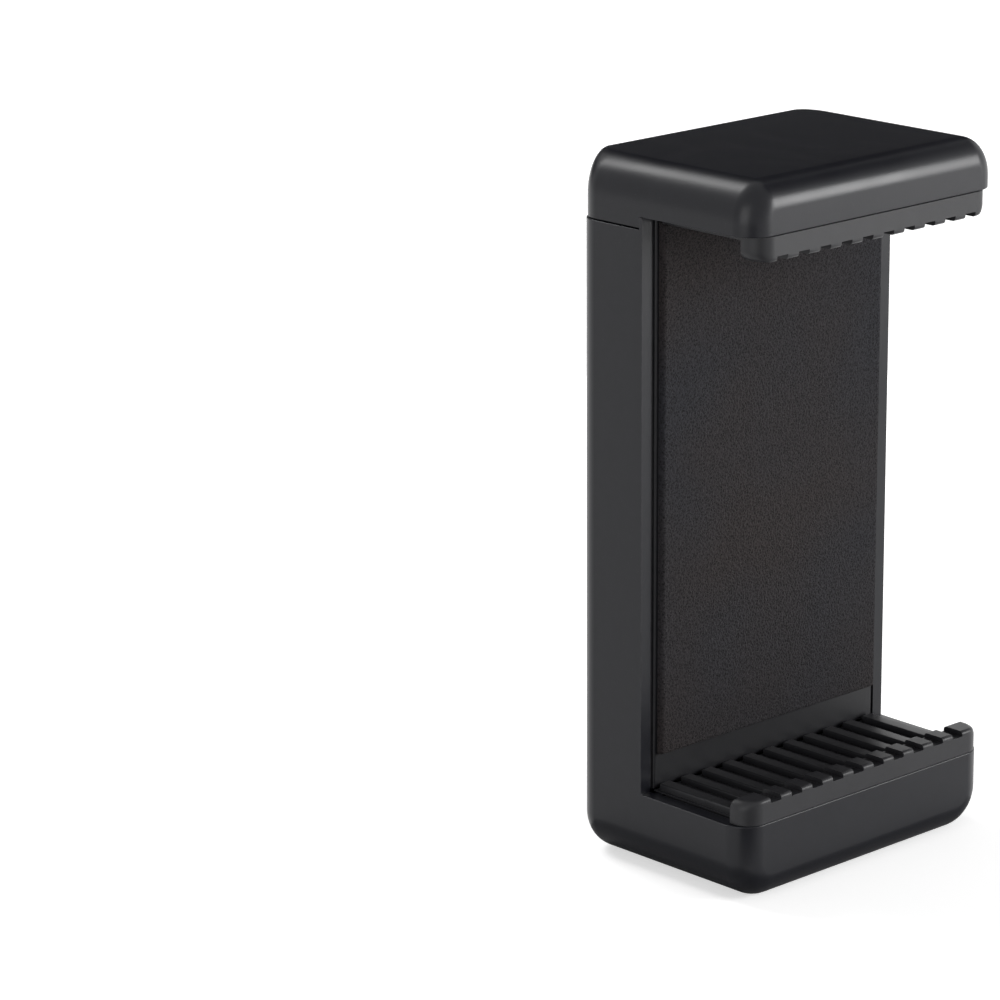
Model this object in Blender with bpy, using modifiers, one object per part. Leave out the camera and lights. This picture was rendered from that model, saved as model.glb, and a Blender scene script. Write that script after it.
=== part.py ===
# Phone clamp that screws onto a tripod: a moulded housing with a fixed lower jaw, and an upper
# jaw on two legs that slides up out of the housing against two extension springs.
# X runs across the width, -Y is the side that the phone lies on, +Z is the way the jaw opens.
# The origin is at the middle of the footprint, at the bottom.

import math

import bmesh
import bpy
from mathutils import Matrix, Vector

mm = 0.001

# Overall
WIDTH = 42.0 * mm
HEIGHT = 85.0 * mm
DEPTH = 28.0 * mm           # back face to the front of the jaws
BODY_DEPTH = 11.0 * mm      # back face to the front of the housing behind the phone

# Rounding of the mouldings
CORNER_R = 5.0 * mm         # the four corners seen from the front
FRONT_R = 3.2 * mm          # front rim of both jaws
BACK_R = 3.2 * mm           # rim of the back, but its top edge, which is sharp

# Housing
SIDE_WALL = 1.55 * mm
BACK_WALL = 1.8 * mm
JAW_WALL = 1.8 * mm
FLOOR_WALL = 2.2 * mm
CROSS_WALL = 1.6 * mm
LOWER_JAW_TOP = 9.6 * mm    # rim of the tray that holds the lower grip
STRIP_DEPTH = 0.5 * mm      # front edge of the side walls, which runs up to the moving jaw's rim
TONGUE_SIDE = 4.0 * mm      # from the side to the part of the back wall that runs up to the top
TONGUE_THICK = 1.2 * mm
TONGUE_R = 2.2 * mm
TONGUE_DROP = 0.1 * mm

# Front cover and foam
COVER_THICK = 1.6 * mm
COVER_GAP = 0.5 * mm
STOP_HEIGHT = 4.0 * mm
PAD_MARGIN = 0.45 * mm      # rim of the cover that shows beside the foam
PAD_FOOT = 4.5 * mm         # from the lower jaw up to the foam
PAD_HEAD = 1.15 * mm
PAD_THICK = 0.9 * mm
PAD_EDGE_R = 0.3 * mm

# Moving jaw
HEAD_HEIGHT = 6.1 * mm      # from its rim to the top
SKIRT_HEIGHT = 7.4 * mm     # the same where it meets the side walls
HEAD_ROOF = 2.6 * mm
HEAD_INSET = 0.2 * mm       # it is this much narrower than the housing on each side
TRAVEL = 0.4 * HEIGHT
LEG_CLEAR = 0.55 * mm       # from the legs to the insert's boss between them
LEG_PLATE = 1.8 * mm
LEG_FLANGE = 1.6 * mm
LEG_BOTTOM = 18.0 * mm
LUG_HEIGHT = 2.0 * mm

# Grips
GRIP_RIBS = 11
GRIP_PITCH = (WIDTH - 6.8 * mm) / (GRIP_RIBS - 1)
GRIP_RIB_WIDTH = GRIP_PITCH / 2
GRIP_RIB_TOP = 0.95 * mm    # above the rim of the jaw
GRIP_RIB_HEIGHT = 0.5 * mm
GRIP_TOOTH = 0.6 * mm       # teeth above the lip
GRIP_TOOTH_LENGTH = 2.4 * mm
GRIP_TOOTH_SETBACK = 0.35 * mm
GRIP_PLUG = 1.3 * mm
GRIP_LIFT = 0.15 * mm       # gap between the rim of the jaw and the grip
GRIP_CORNER_R = 3.0 * mm
LIP_TOP = 2.4 * mm          # the raised lip along the front, above the rim
LIP_LENGTH = 2.9 * mm
LOWER_LIP_IN = 0.6 * mm     # from the side of the clamp to the lip
UPPER_LIP_IN = 1.5 * mm

# Threaded inserts
INSERT_D = 9.6 * mm
INSERT_LENGTH = 6.5 * mm
INSERT_KNURLS = 26
KNURL_DEPTH = 0.3 * mm
THREAD_D = 6.35 * mm
MOUTH_D = 7.0 * mm
BOSS_WALL = 1.7 * mm
BOSS_END = 1.0 * mm
BACK_INSERT_Z = HEIGHT / 2
BOTTOM_INSERT_IN = 15.0 * mm

# Cover screws
SCREW_X = 4.3 * mm
SCREW_IN = 19.0 * mm        # from either end of the clamp
SCREW_D = 1.9 * mm
SCREW_LENGTH = 5.0 * mm
SCREW_HEAD_D = 3.8 * mm
SCREW_HEAD_H = 0.9 * mm
SCREW_BOSS_D = 4.6 * mm

# Springs and their pins
SPRING_ROOM = 1.3 * mm      # depth of the leg's channel that a spring leaves free
WIRE_D = 0.6 * mm
SPRING_TURNS = 10
SPRING_LEAD = 1.5 * mm      # wire between a hook and the coil
HOOK_R = 1.35 * mm
PIN_D = 1.5 * mm
LOWER_PIN_Z = 15.0 * mm
UPPER_PIN_Z = 40.0 * mm
PIN_RIB = 1.4 * mm
PIN_RIB_SPREAD = 2.85 * mm

# Clearances
FIT = 0.3 * mm              # running gap between two pieces
SEAT = 0.15 * mm            # gap round a pin, a screw or an insert, and where the jaw rests
GLUE = 0.2 * mm             # under the foam pad
OVER = 2.0 * mm             # how far a cutter runs past the surface that it cuts

# Places that follow from the sizes
BACK = DEPTH / 2
FRONT = -DEPTH / 2
BODY_FRONT = BACK - BODY_DEPTH
CAVITY_BACK = BACK - BACK_WALL
CAVITY_HALF = WIDTH / 2 - SIDE_WALL
TONGUE_HALF = WIDTH / 2 - TONGUE_SIDE
JAW_RIM = HEIGHT - HEAD_HEIGHT
SKIRT_RIM = HEIGHT - SKIRT_HEIGHT
HOUSING_TOP = SKIRT_RIM - SEAT
STRIP_TOP = JAW_RIM - SEAT
COVER_BACK = BODY_FRONT + COVER_THICK
COVER_HALF = CAVITY_HALF - COVER_GAP
PAD_HALF = COVER_HALF - PAD_MARGIN
CROSS_FRONT = BODY_FRONT - CROSS_WALL
BOTTOM_INSERT_Y = BACK - BOTTOM_INSERT_IN
INSERT_HOLE_D = INSERT_D + 2 * SEAT
BOSS_D = INSERT_HOLE_D + 2 * BOSS_WALL
LEG_INNER = BOSS_D / 2 + LEG_CLEAR
LEG_OUTER = CAVITY_HALF - FIT
LEG_BACK = CAVITY_BACK - FIT
LEG_PLATE_FRONT = LEG_BACK - LEG_PLATE
LEG_FRONT = COVER_BACK + FIT
CHANNEL_IN = LEG_INNER + LEG_FLANGE
CHANNEL_OUT = LEG_OUTER - LEG_FLANGE
SPRING_X = (LEG_INNER + LEG_OUTER) / 2
SPRING_D = LEG_PLATE_FRONT - COVER_BACK - SPRING_ROOM
SPRING_Y = (LEG_PLATE_FRONT + COVER_BACK) / 2 + FIT
STOP_BACK = SPRING_Y - PIN_D / 2 - FIT
SCREW_HEIGHTS = (SCREW_IN, HEIGHT - SCREW_IN)

ROUND_STEPS = 8
FILLET_STEPS = 5


def clear_scene():
    for obj in list(bpy.data.objects):
        bpy.data.objects.remove(obj, do_unlink=True)


def make_collection(name):
    group = bpy.data.collections.new(name)
    bpy.context.scene.collection.children.link(group)
    return group


def make_material(name, colour, roughness, metallic=0.0):
    mat = bpy.data.materials.new(name)
    mat.use_nodes = True
    shader = mat.node_tree.nodes["Principled BSDF"]
    shader.inputs["Base Color"].default_value = (*colour, 1.0)
    shader.inputs["Roughness"].default_value = roughness
    shader.inputs["Metallic"].default_value = metallic
    mat.diffuse_color = (*colour, 1.0)
    return mat


def add_mesh(name, bm, group, mat=None, location=(0, 0, 0)):
    mesh = bpy.data.meshes.new(name)
    bmesh.ops.recalc_face_normals(bm, faces=bm.faces)
    bm.to_mesh(mesh)
    bm.free()
    obj = bpy.data.objects.new(name, mesh)
    obj.location = location
    group.objects.link(obj)
    if mat:
        mesh.materials.append(mat)
        mesh.shade_smooth()
        mesh.set_sharp_from_angle(angle=math.radians(30))
    return obj


def box_bmesh(low, high):
    low, high = Vector(low), Vector(high)
    bm = bmesh.new()
    bmesh.ops.create_cube(bm, size=1.0)
    size = Matrix.Diagonal(high - low).to_4x4()
    bmesh.ops.transform(bm, matrix=Matrix.Translation((low + high) / 2) @ size, verts=bm.verts)
    return bm


def merge_boxes(boxes):
    bm = bmesh.new()
    for low, high in boxes:
        piece = box_bmesh(low, high)
        mesh = bpy.data.meshes.new("box")
        piece.to_mesh(mesh)
        piece.free()
        bm.from_mesh(mesh)
        bpy.data.meshes.remove(mesh)
    return bm


def edges_at(bm, test):
    return [e for e in bm.edges if all(test(v.co) for v in e.verts)]


def along(edge, axis):
    run = edge.verts[1].co - edge.verts[0].co
    return abs(run[axis]) > 0.999 * run.length


def round_edges(bm, edges, radius, steps):
    bmesh.ops.bevel(bm, geom=edges, offset=radius, offset_type="OFFSET", segments=steps,
                    profile=0.5, affect="EDGES", clamp_overlap=False)


def rounded_slab(low, high, corner_r):
    """A slab whose corners are round seen from the front."""
    bm = box_bmesh(low, high)
    round_edges(bm, [e for e in bm.edges if along(e, 1)], corner_r, ROUND_STEPS)
    return bm


def cylinder_bmesh(centre, axis, radius, low, high, sides):
    """A round bar along an axis, from low to high on it."""
    bm = bmesh.new()
    bmesh.ops.create_cone(bm, cap_ends=True, segments=sides, radius1=radius, radius2=radius,
                          depth=high - low)
    turn = Vector((0, 0, 1)).rotation_difference(Vector(axis)).to_matrix().to_4x4()
    place = Matrix.Translation(Vector(centre) + Vector(axis) * (low + high) / 2)
    bmesh.ops.transform(bm, matrix=place @ turn, verts=bm.verts)
    return bm


def cutter(name, bm):
    obj = add_mesh(name, bm, cutters)
    obj.hide_render = True
    obj.display_type = "WIRE"
    return obj


def boolean(obj, other, operation):
    mod = obj.modifiers.new(other.name, "BOOLEAN")
    mod.operation = operation
    mod.solver = "EXACT"
    mod.object = other
    return mod


def cut_box(obj, name, low, high):
    boolean(obj, cutter(name, box_bmesh(low, high)), "DIFFERENCE")


def cut_round(obj, name, centre, axis, radius, low, high, sides=24):
    bar = cylinder_bmesh(centre, axis, radius, low, high, sides)
    boolean(obj, cutter(name, bar), "DIFFERENCE")


def join(obj, name, bm):
    boolean(obj, cutter(name, bm), "UNION")


def freeze(obj):
    """Turn an object's modifiers into plain mesh."""
    graph = bpy.context.evaluated_depsgraph_get()
    mesh = bpy.data.meshes.new_from_object(obj.evaluated_get(graph))
    old = obj.data
    obj.modifiers.clear()
    obj.data = mesh
    bpy.data.meshes.remove(old)


def ring(bm, half, y, corner, foot, head):
    """One section of the outer form across Y, with its lower and upper edges drawn in."""
    ring_verts = []
    for right, up, start in ((1, 1, 0), (-1, 1, 90), (-1, -1, 180), (1, -1, 270)):
        edge = head if up > 0 else foot
        middle = HEIGHT - corner if up > 0 else corner
        for k in range(ROUND_STEPS + 1):
            angle = math.radians(start + 90 * k / ROUND_STEPS)
            ring_verts.append(bm.verts.new((right * (half - corner) + (corner - foot) * math.cos(angle),
                                            y, middle + (corner - edge) * math.sin(angle))))
    return ring_verts


def add_envelope(name, inset, mat):
    """The outer form that the housing and the moving jaw are both cut from.

    It is a loft: the front rim is round all the way, and the back rim has a sharp top edge.
    """
    half, corner = WIDTH / 2 - inset, CORNER_R - inset
    turns = [math.pi / 2 * k / FILLET_STEPS for k in range(FILLET_STEPS + 1)]
    bm = bmesh.new()
    rings = []
    for angle in turns:
        drawn = FRONT_R * (1 - math.sin(angle))
        rings.append(ring(bm, half, FRONT + FRONT_R * (1 - math.cos(angle)), corner, drawn, drawn))
    for angle in turns:
        drawn = BACK_R * (1 - math.cos(angle))
        rings.append(ring(bm, half, BACK - BACK_R * (1 - math.sin(angle)), corner, drawn, 0))
    for near, far in zip(rings, rings[1:]):
        for k in range(len(near)):
            bm.faces.new((near[k - 1], near[k], far[k], far[k - 1]))
    bm.faces.new(rings[0])
    bm.faces.new(reversed(rings[-1]))
    bmesh.ops.connect_verts_nonplanar(bm, angle_limit=math.radians(0.1), faces=bm.faces)
    return add_mesh(name, bm, parts, mat)


def add_insert_pocket(obj, name, centre, axis):
    """Boss with a blind hole for a threaded insert; the axis points into the moulding."""
    depth = INSERT_LENGTH + FIT
    join(obj, name + "_boss", cylinder_bmesh(centre, axis, BOSS_D / 2, OVER / 2, depth + BOSS_END, 32))
    cut_round(obj, name + "_hole", centre, axis, INSERT_HOLE_D / 2, -OVER, depth, 40)


def build_housing(mat):
    obj = add_envelope("housing", 0, mat)
    half = WIDTH / 2 + OVER
    # The space that the phone takes, in front of the body and above the lower jaw
    cut_box(obj, "phone_space", (-half, FRONT - OVER, LOWER_JAW_TOP),
            (half, BODY_FRONT, HEIGHT + OVER))
    # Everything above the side walls but the tongue of the back wall
    above = cutter("above_walls", box_bmesh((-half, BODY_FRONT + STRIP_DEPTH, HOUSING_TOP),
                                            (half, BACK + OVER, HEIGHT + OVER)))
    tongue = rounded_slab((-TONGUE_HALF, BACK - TONGUE_THICK, HOUSING_TOP - 2 * TONGUE_R),
                          (TONGUE_HALF, BACK + 2 * OVER, HEIGHT - TONGUE_DROP), TONGUE_R)
    boolean(above, cutter("tongue", tongue), "DIFFERENCE")
    boolean(obj, above, "DIFFERENCE")
    cut_box(obj, "above_strip", (-half, BODY_FRONT - OVER, STRIP_TOP),
            (half, BODY_FRONT + STRIP_DEPTH + OVER / 4, HEIGHT + OVER))
    # Hollow behind the cover, and the tray in the lower jaw
    cut_box(obj, "cavity", (-CAVITY_HALF, BODY_FRONT - CROSS_WALL / 2, LOWER_JAW_TOP - FIT),
            (CAVITY_HALF, CAVITY_BACK, HOUSING_TOP + OVER))
    cut_box(obj, "foot_hollow", (-CAVITY_HALF, BODY_FRONT, FLOOR_WALL),
            (CAVITY_HALF, CAVITY_BACK, LOWER_JAW_TOP))
    cut_box(obj, "strip_opening", (-CAVITY_HALF, BODY_FRONT - OVER, LOWER_JAW_TOP + OVER),
            (CAVITY_HALF, BODY_FRONT + 2 * STRIP_DEPTH, HEIGHT + OVER))
    tray_half = WIDTH / 2 - JAW_WALL
    cut_box(obj, "tray", (-tray_half, FRONT + JAW_WALL, FLOOR_WALL),
            (tray_half, CROSS_FRONT, LOWER_JAW_TOP + OVER))
    # Ribs that carry the lower grip
    rib_top = LOWER_JAW_TOP - GRIP_PLUG - FIT + GRIP_LIFT
    for side in (-1, 1):
        x = side * (BOSS_D / 2 + tray_half) / 2
        join(obj, "grip_rib_%d" % side,
             box_bmesh((x - PIN_RIB / 2, FRONT + JAW_WALL / 2, FLOOR_WALL / 2),
                       (x + PIN_RIB / 2, CROSS_FRONT + CROSS_WALL / 2, rib_top)))
    # Ribs that hold the lower spring pins
    for side in (-1, 1):
        for spread in (-PIN_RIB_SPREAD, PIN_RIB_SPREAD):
            x = side * SPRING_X + spread
            join(obj, "pin_rib_%d_%d" % (side, spread > 0),
                 box_bmesh((x - PIN_RIB / 2, SPRING_Y - PIN_D - SEAT, FLOOR_WALL / 2),
                           (x + PIN_RIB / 2, CAVITY_BACK + BACK_WALL / 2, LOWER_PIN_Z + PIN_D)))
    for z in SCREW_HEIGHTS:
        for side in (-1, 1):
            place = (side * SCREW_X, CAVITY_BACK, z)
            reach = CAVITY_BACK - COVER_BACK - FIT
            join(obj, "screw_boss", cylinder_bmesh(place, (0, -1, 0), SCREW_BOSS_D / 2,
                                                   -BACK_WALL / 2, reach, 20))
    add_insert_pocket(obj, "back_insert", (0, BACK, BACK_INSERT_Z), (0, -1, 0))
    add_insert_pocket(obj, "bottom_insert", (0, BOTTOM_INSERT_Y, 0), (0, 0, 1))
    for z in SCREW_HEIGHTS:
        for side in (-1, 1):
            place = (side * SCREW_X, BODY_FRONT, z)
            cut_round(obj, "screw_hole", place, (0, 1, 0), SCREW_D / 2 + SEAT, 0,
                      SCREW_LENGTH + SCREW_HEAD_H + 2 * FIT, 16)
    for side in (-1, 1):
        cut_round(obj, "pin_hole_%d" % side, (side * SPRING_X, SPRING_Y, LOWER_PIN_Z), (1, 0, 0),
                  PIN_D / 2 + SEAT, -PIN_RIB_SPREAD - PIN_RIB, PIN_RIB_SPREAD + PIN_RIB, 16)
    return obj


def build_cover(mat):
    low = LOWER_JAW_TOP + FIT
    obj = add_mesh("front_cover", box_bmesh((-COVER_HALF, BODY_FRONT, low),
                                            (COVER_HALF, COVER_BACK, STRIP_TOP)), parts, mat)
    stop = LEG_BOTTOM + LUG_HEIGHT + TRAVEL + FIT
    for side in (-1, 1):
        for spread in (-1, 1):
            x = side * SPRING_X + spread * (SPRING_D / 2 + FIT + PIN_RIB / 2)
            join(obj, "stop_rib", box_bmesh((x - PIN_RIB / 2, COVER_BACK - COVER_THICK / 2, stop),
                                            (x + PIN_RIB / 2, STOP_BACK, stop + STOP_HEIGHT)))
    for z in SCREW_HEIGHTS:
        for side in (-1, 1):
            place = (side * SCREW_X, BODY_FRONT, z)
            cut_round(obj, "cover_hole", place, (0, 1, 0), SCREW_D / 2 + SEAT, -OVER,
                      COVER_THICK + OVER, 16)
            cut_round(obj, "counterbore", place, (0, 1, 0), SCREW_HEAD_D / 2 + FIT, -OVER,
                      SCREW_HEAD_H + SEAT, 24)
    return obj


def build_pad(mat):
    back = BODY_FRONT - GLUE
    bm = box_bmesh((-PAD_HALF, back - PAD_THICK, LOWER_JAW_TOP + PAD_FOOT),
                   (PAD_HALF, back, STRIP_TOP - PAD_HEAD))
    round_edges(bm, edges_at(bm, lambda p: p.y < back - PAD_THICK / 2), PAD_EDGE_R, 2)
    return add_mesh("foam_pad", bm, parts, mat)


def build_screw(name, x, z, mat):
    """A pan head screw: a turned profile, head towards the front."""
    head, body, tip = SCREW_HEAD_D / 2, SCREW_D / 2, SCREW_D / 4
    low = -SCREW_LENGTH
    profile = [(0, SCREW_HEAD_H), (head * 0.6, SCREW_HEAD_H), (head, SCREW_HEAD_H * 0.5), (head, 0),
               (body, 0), (body, low + body), (tip, low), (0, low)]
    bm = bmesh.new()
    verts = [bm.verts.new((r, 0, h)) for r, h in profile]
    for a, b in zip(verts, verts[1:]):
        bm.edges.new((a, b))
    mesh = bpy.data.meshes.new(name)
    bm.to_mesh(mesh)
    bm.free()
    obj = bpy.data.objects.new(name, mesh)
    parts.objects.link(obj)
    mesh.materials.append(mat)
    turn = obj.modifiers.new("turn", "SCREW")
    turn.axis = "Z"
    turn.steps = turn.render_steps = 16
    turn.use_merge_vertices = True
    turn.merge_threshold = 0.00001
    obj.rotation_euler = (math.radians(90), 0, 0)
    obj.location = (x, BODY_FRONT + SCREW_HEAD_H + SEAT / 2, z)
    return obj


def knurl_outline(radius, depth, teeth):
    """Points round a knurled rim: each tooth has a flat tip and a flat root."""
    points = []
    for k in range(teeth):
        for share, r in ((-0.32, radius - depth), (-0.14, radius), (0.14, radius),
                         (0.32, radius - depth)):
            angle = 2 * math.pi * (k + share) / teeth
            points.append((r * math.cos(angle), r * math.sin(angle)))
    return points


def build_insert(name, centre, turn, mat):
    """A knurled brass insert along local +Z, mouth at the origin, bored right through."""
    curve = bpy.data.curves.new(name, "CURVE")
    curve.dimensions = "2D"
    curve.fill_mode = "BOTH"
    curve.extrude = INSERT_LENGTH / 2
    bore = [(THREAD_D / 2 * math.cos(a), THREAD_D / 2 * math.sin(a))
            for a in (2 * math.pi * k / 32 for k in range(32))]
    for loop in (knurl_outline(INSERT_D / 2, KNURL_DEPTH, INSERT_KNURLS), bore):
        spline = curve.splines.new("POLY")
        spline.points.add(len(loop) - 1)
        for point, (x, y) in zip(spline.points, loop):
            point.co = (x, y, 0, 1)
        spline.use_cyclic_u = True
    curve_obj = bpy.data.objects.new(name + "_outline", curve)
    parts.objects.link(curve_obj)
    graph = bpy.context.evaluated_depsgraph_get()
    mesh = bpy.data.meshes.new_from_object(curve_obj.evaluated_get(graph))
    bpy.data.objects.remove(curve_obj)
    bm = bmesh.new()
    bm.from_mesh(mesh)
    bpy.data.meshes.remove(mesh)
    bmesh.ops.remove_doubles(bm, verts=bm.verts, dist=1e-7)
    bmesh.ops.translate(bm, verts=bm.verts, vec=(0, 0, INSERT_LENGTH / 2))
    obj = add_mesh(name, bm, parts, mat)
    # The mouth is opened out so that the screw starts easily
    depth = (MOUTH_D - THREAD_D) / 2
    cone = bmesh.new()
    bmesh.ops.create_cone(cone, cap_ends=True, segments=32, radius1=MOUTH_D / 2 + depth,
                          radius2=THREAD_D / 2 - depth, depth=3 * depth)
    bmesh.ops.translate(cone, verts=cone.verts, vec=(0, 0, depth / 2))
    mouth = cutter(name + "_mouth", cone)
    boolean(obj, mouth, "DIFFERENCE")
    for item in (obj, mouth):
        item.location = centre
        item.rotation_euler = turn
    return obj


def grip_post(inner, outer, side):
    """The wide tooth at one end of the lip, round where the lip's own corner is."""
    front = FRONT + GRIP_TOOTH_SETBACK
    low_x, high_x = min(side * inner, side * outer), max(side * inner, side * outer)
    post = box_bmesh((low_x, front, LIP_TOP / 2),
                     (high_x, front + GRIP_TOOTH_LENGTH, LIP_TOP + GRIP_TOOTH))
    corner = edges_at(post, lambda p: p.y < front + 1e-6 and abs(p.x) > outer - 1e-6)
    round_edges(post, corner, GRIP_CORNER_R - GRIP_TOOTH_SETBACK, ROUND_STEPS)
    return post


def build_grip(name, rim, way, lip_half, plug_half, mat):
    """Rubber grip on a jaw's rim. It is modelled facing up and turned over for the upper jaw."""
    back = BODY_FRONT - GRIP_LIFT
    floor = GRIP_RIB_TOP - GRIP_RIB_HEIGHT
    lip_back = FRONT + LIP_LENGTH
    lip = box_bmesh((-lip_half, FRONT, GRIP_LIFT), (lip_half, lip_back, LIP_TOP))
    front_corners = edges_at(lip, lambda p: p.y < FRONT + lip_half * 0.01)
    round_edges(lip, [e for e in front_corners if along(e, 2)], GRIP_CORNER_R, ROUND_STEPS)
    top_front = edges_at(lip, lambda p: p.z > LIP_TOP - 1e-6 and p.y < lip_back - 1e-6)
    round_edges(lip, top_front, GRIP_TOOTH_SETBACK, 2)
    obj = add_mesh(name, lip, parts, mat)
    join(obj, name + "_floor", box_bmesh((-plug_half, FRONT + LIP_LENGTH / 2, GRIP_LIFT * 1.001),
                                         (plug_half, back, floor)))
    join(obj, name + "_plug", box_bmesh((-plug_half + GRIP_LIFT, FRONT + JAW_WALL + FIT,
                                         GRIP_LIFT - GRIP_PLUG),
                                        (plug_half - GRIP_LIFT, CROSS_FRONT - FIT,
                                         (GRIP_LIFT + floor) / 2)))
    middle = (GRIP_RIBS - 1) / 2
    ribs = []
    teeth = []
    for k in range(GRIP_RIBS):
        low = (k - middle) * GRIP_PITCH - GRIP_RIB_WIDTH / 2
        high = low + GRIP_RIB_WIDTH
        ribs.append(((low, FRONT + LIP_LENGTH / 2, floor / 2),
                     (high, back - GRIP_RIB_HEIGHT, GRIP_RIB_TOP)))
        if 0 < k < GRIP_RIBS - 1:
            front = FRONT + GRIP_TOOTH_SETBACK
            teeth.append(((low, front, LIP_TOP / 2),
                          (high, front + GRIP_TOOTH_LENGTH, LIP_TOP + GRIP_TOOTH)))
    join(obj, name + "_ribs", merge_boxes(ribs))
    join(obj, name + "_teeth", merge_boxes(teeth))
    post_inner = middle * GRIP_PITCH - GRIP_RIB_WIDTH / 2
    for side in (-1, 1):
        join(obj, name + "_post_%d" % side,
             grip_post(post_inner, lip_half - GRIP_TOOTH_SETBACK, side))
    freeze(obj)
    place = Matrix.Translation((0, 0, rim)) @ Matrix.Diagonal((1, 1, way, 1))
    obj.data.transform(place)
    if way < 0:
        obj.data.flip_normals()
    obj.data.shade_smooth()
    obj.data.set_sharp_from_angle(angle=math.radians(30))
    return obj


def build_upper_jaw(mat):
    """The moving jaw and its two legs, one moulding."""
    obj = add_envelope("upper_jaw", HEAD_INSET, mat)
    half = WIDTH / 2 + OVER
    strip_back = BODY_FRONT + STRIP_DEPTH + FIT
    cut_box(obj, "below_skirt", (-half, strip_back - OVER, -OVER), (half, BACK + OVER, SKIRT_RIM))
    cut_box(obj, "below_rim", (-half, FRONT - OVER, -2 * OVER), (half, strip_back, JAW_RIM))
    slot = rounded_slab((-TONGUE_HALF - FIT, BACK - TONGUE_THICK - SEAT, HOUSING_TOP - 3 * TONGUE_R),
                        (TONGUE_HALF + FIT, BACK + OVER, HEIGHT + SEAT), TONGUE_R + SEAT)
    boolean(obj, cutter("tongue_slot", slot), "DIFFERENCE")
    cut_box(obj, "inside_skirt", (-CAVITY_HALF + SEAT, strip_back - OVER, SKIRT_RIM - OVER),
            (CAVITY_HALF - SEAT, CAVITY_BACK, JAW_RIM))
    # Hollow for the grip, with ribs behind it
    tray_half = WIDTH / 2 - HEAD_INSET - JAW_WALL
    cut_box(obj, "grip_hollow", (-tray_half, FRONT + JAW_WALL, JAW_RIM - OVER),
            (tray_half, CROSS_FRONT, HEIGHT - HEAD_ROOF))
    for k in (-1, 0, 1):
        x = k * tray_half / 2
        join(obj, "grip_rib_up_%d" % k,
             box_bmesh((x - PIN_RIB / 2, FRONT + JAW_WALL / 2, JAW_RIM + GRIP_PLUG - GRIP_LIFT + FIT),
                       (x + PIN_RIB / 2, CROSS_FRONT + CROSS_WALL / 2, HEIGHT - HEAD_ROOF / 2)))
    for side in (-1, 1):
        add_leg(obj, side)
    return obj


def add_leg(obj, side):
    """A leg is a channel, open to the front, with a spring in it."""
    def span(a, b):
        return (min(side * a, side * b), max(side * a, side * b))

    top = JAW_RIM + OVER
    low_x, high_x = span(LEG_INNER, LEG_OUTER)
    join(obj, "leg_%d" % side, box_bmesh((low_x, LEG_FRONT, LEG_BOTTOM), (high_x, LEG_BACK, top)))
    low_x, high_x = span(CHANNEL_IN, CHANNEL_OUT)
    cut_box(obj, "channel_%d" % side, (low_x, LEG_FRONT - OVER, LEG_BOTTOM + LUG_HEIGHT),
            (high_x, LEG_PLATE_FRONT, JAW_RIM - FIT))
    gap = SPRING_D / 2 + FIT
    cut_box(obj, "lug_gap_%d" % side, (side * SPRING_X - gap, LEG_FRONT - OVER, LEG_BOTTOM - OVER),
            (side * SPRING_X + gap, LEG_PLATE_FRONT, LEG_BOTTOM + LUG_HEIGHT + OVER))
    reach = (LEG_OUTER - LEG_INNER) / 2 + OVER
    cut_round(obj, "leg_pin_hole_%d" % side, (side * SPRING_X, SPRING_Y, UPPER_PIN_Z), (1, 0, 0),
              PIN_D / 2 + SEAT, -reach, reach, 16)


def build_pin(name, x, z, length, mat):
    bar = cylinder_bmesh((0, 0, 0), (1, 0, 0), PIN_D / 2, -length / 2, length / 2, 16)
    return add_mesh(name, bar, parts, mat, (x, SPRING_Y, z))


def spring_points():
    """Hook, coil and hook on one path, from the lower pin's centre upwards."""
    length = UPPER_PIN_Z - LOWER_PIN_Z
    coil_r = (SPRING_D - WIRE_D) / 2
    low, high = HOOK_R + SPRING_LEAD, length - HOOK_R - SPRING_LEAD
    points = []
    for k in range(10):
        angle = math.radians(-130 + 310 * k / 9)
        points.append((0, HOOK_R * math.sin(angle), -HOOK_R * math.cos(angle)))
    steps = 8 * SPRING_TURNS
    for k in range(steps + 1):
        turn = 2 * math.pi * k / 8
        points.append((coil_r * math.sin(turn), coil_r * math.cos(turn), low + (high - low) * k / steps))
    for k in range(10):
        angle = math.radians(130 - 310 * (9 - k) / 9)
        points.append((0, -HOOK_R * math.sin(angle), length + HOOK_R * math.cos(angle)))
    return points


def build_spring(name, x, mat):
    curve = bpy.data.curves.new(name, "CURVE")
    curve.dimensions = "3D"
    curve.bevel_depth = WIRE_D / 2
    curve.bevel_resolution = 2
    curve.use_fill_caps = True
    points = spring_points()
    spline = curve.splines.new("POLY")
    spline.points.add(len(points) - 1)
    for point, place in zip(spline.points, points):
        point.co = (*place, 1)
    curve.materials.append(mat)
    obj = bpy.data.objects.new(name, curve)
    obj.location = (x, SPRING_Y, LOWER_PIN_Z)
    parts.objects.link(obj)
    return obj


clear_scene()
parts = make_collection("phone_clamp")
cutters = make_collection("cutters")

black_plastic = make_material("black_plastic", (0.035, 0.035, 0.038), 0.42)
cover_plastic = make_material("cover_plastic", (0.030, 0.030, 0.033), 0.45)
foam = make_material("foam", (0.030, 0.028, 0.028), 0.95)
rubber = make_material("rubber", (0.028, 0.028, 0.030), 0.55)
brass = make_material("brass", (0.80, 0.58, 0.26), 0.25, 1.0)
steel = make_material("steel", (0.62, 0.62, 0.62), 0.3, 1.0)

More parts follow.
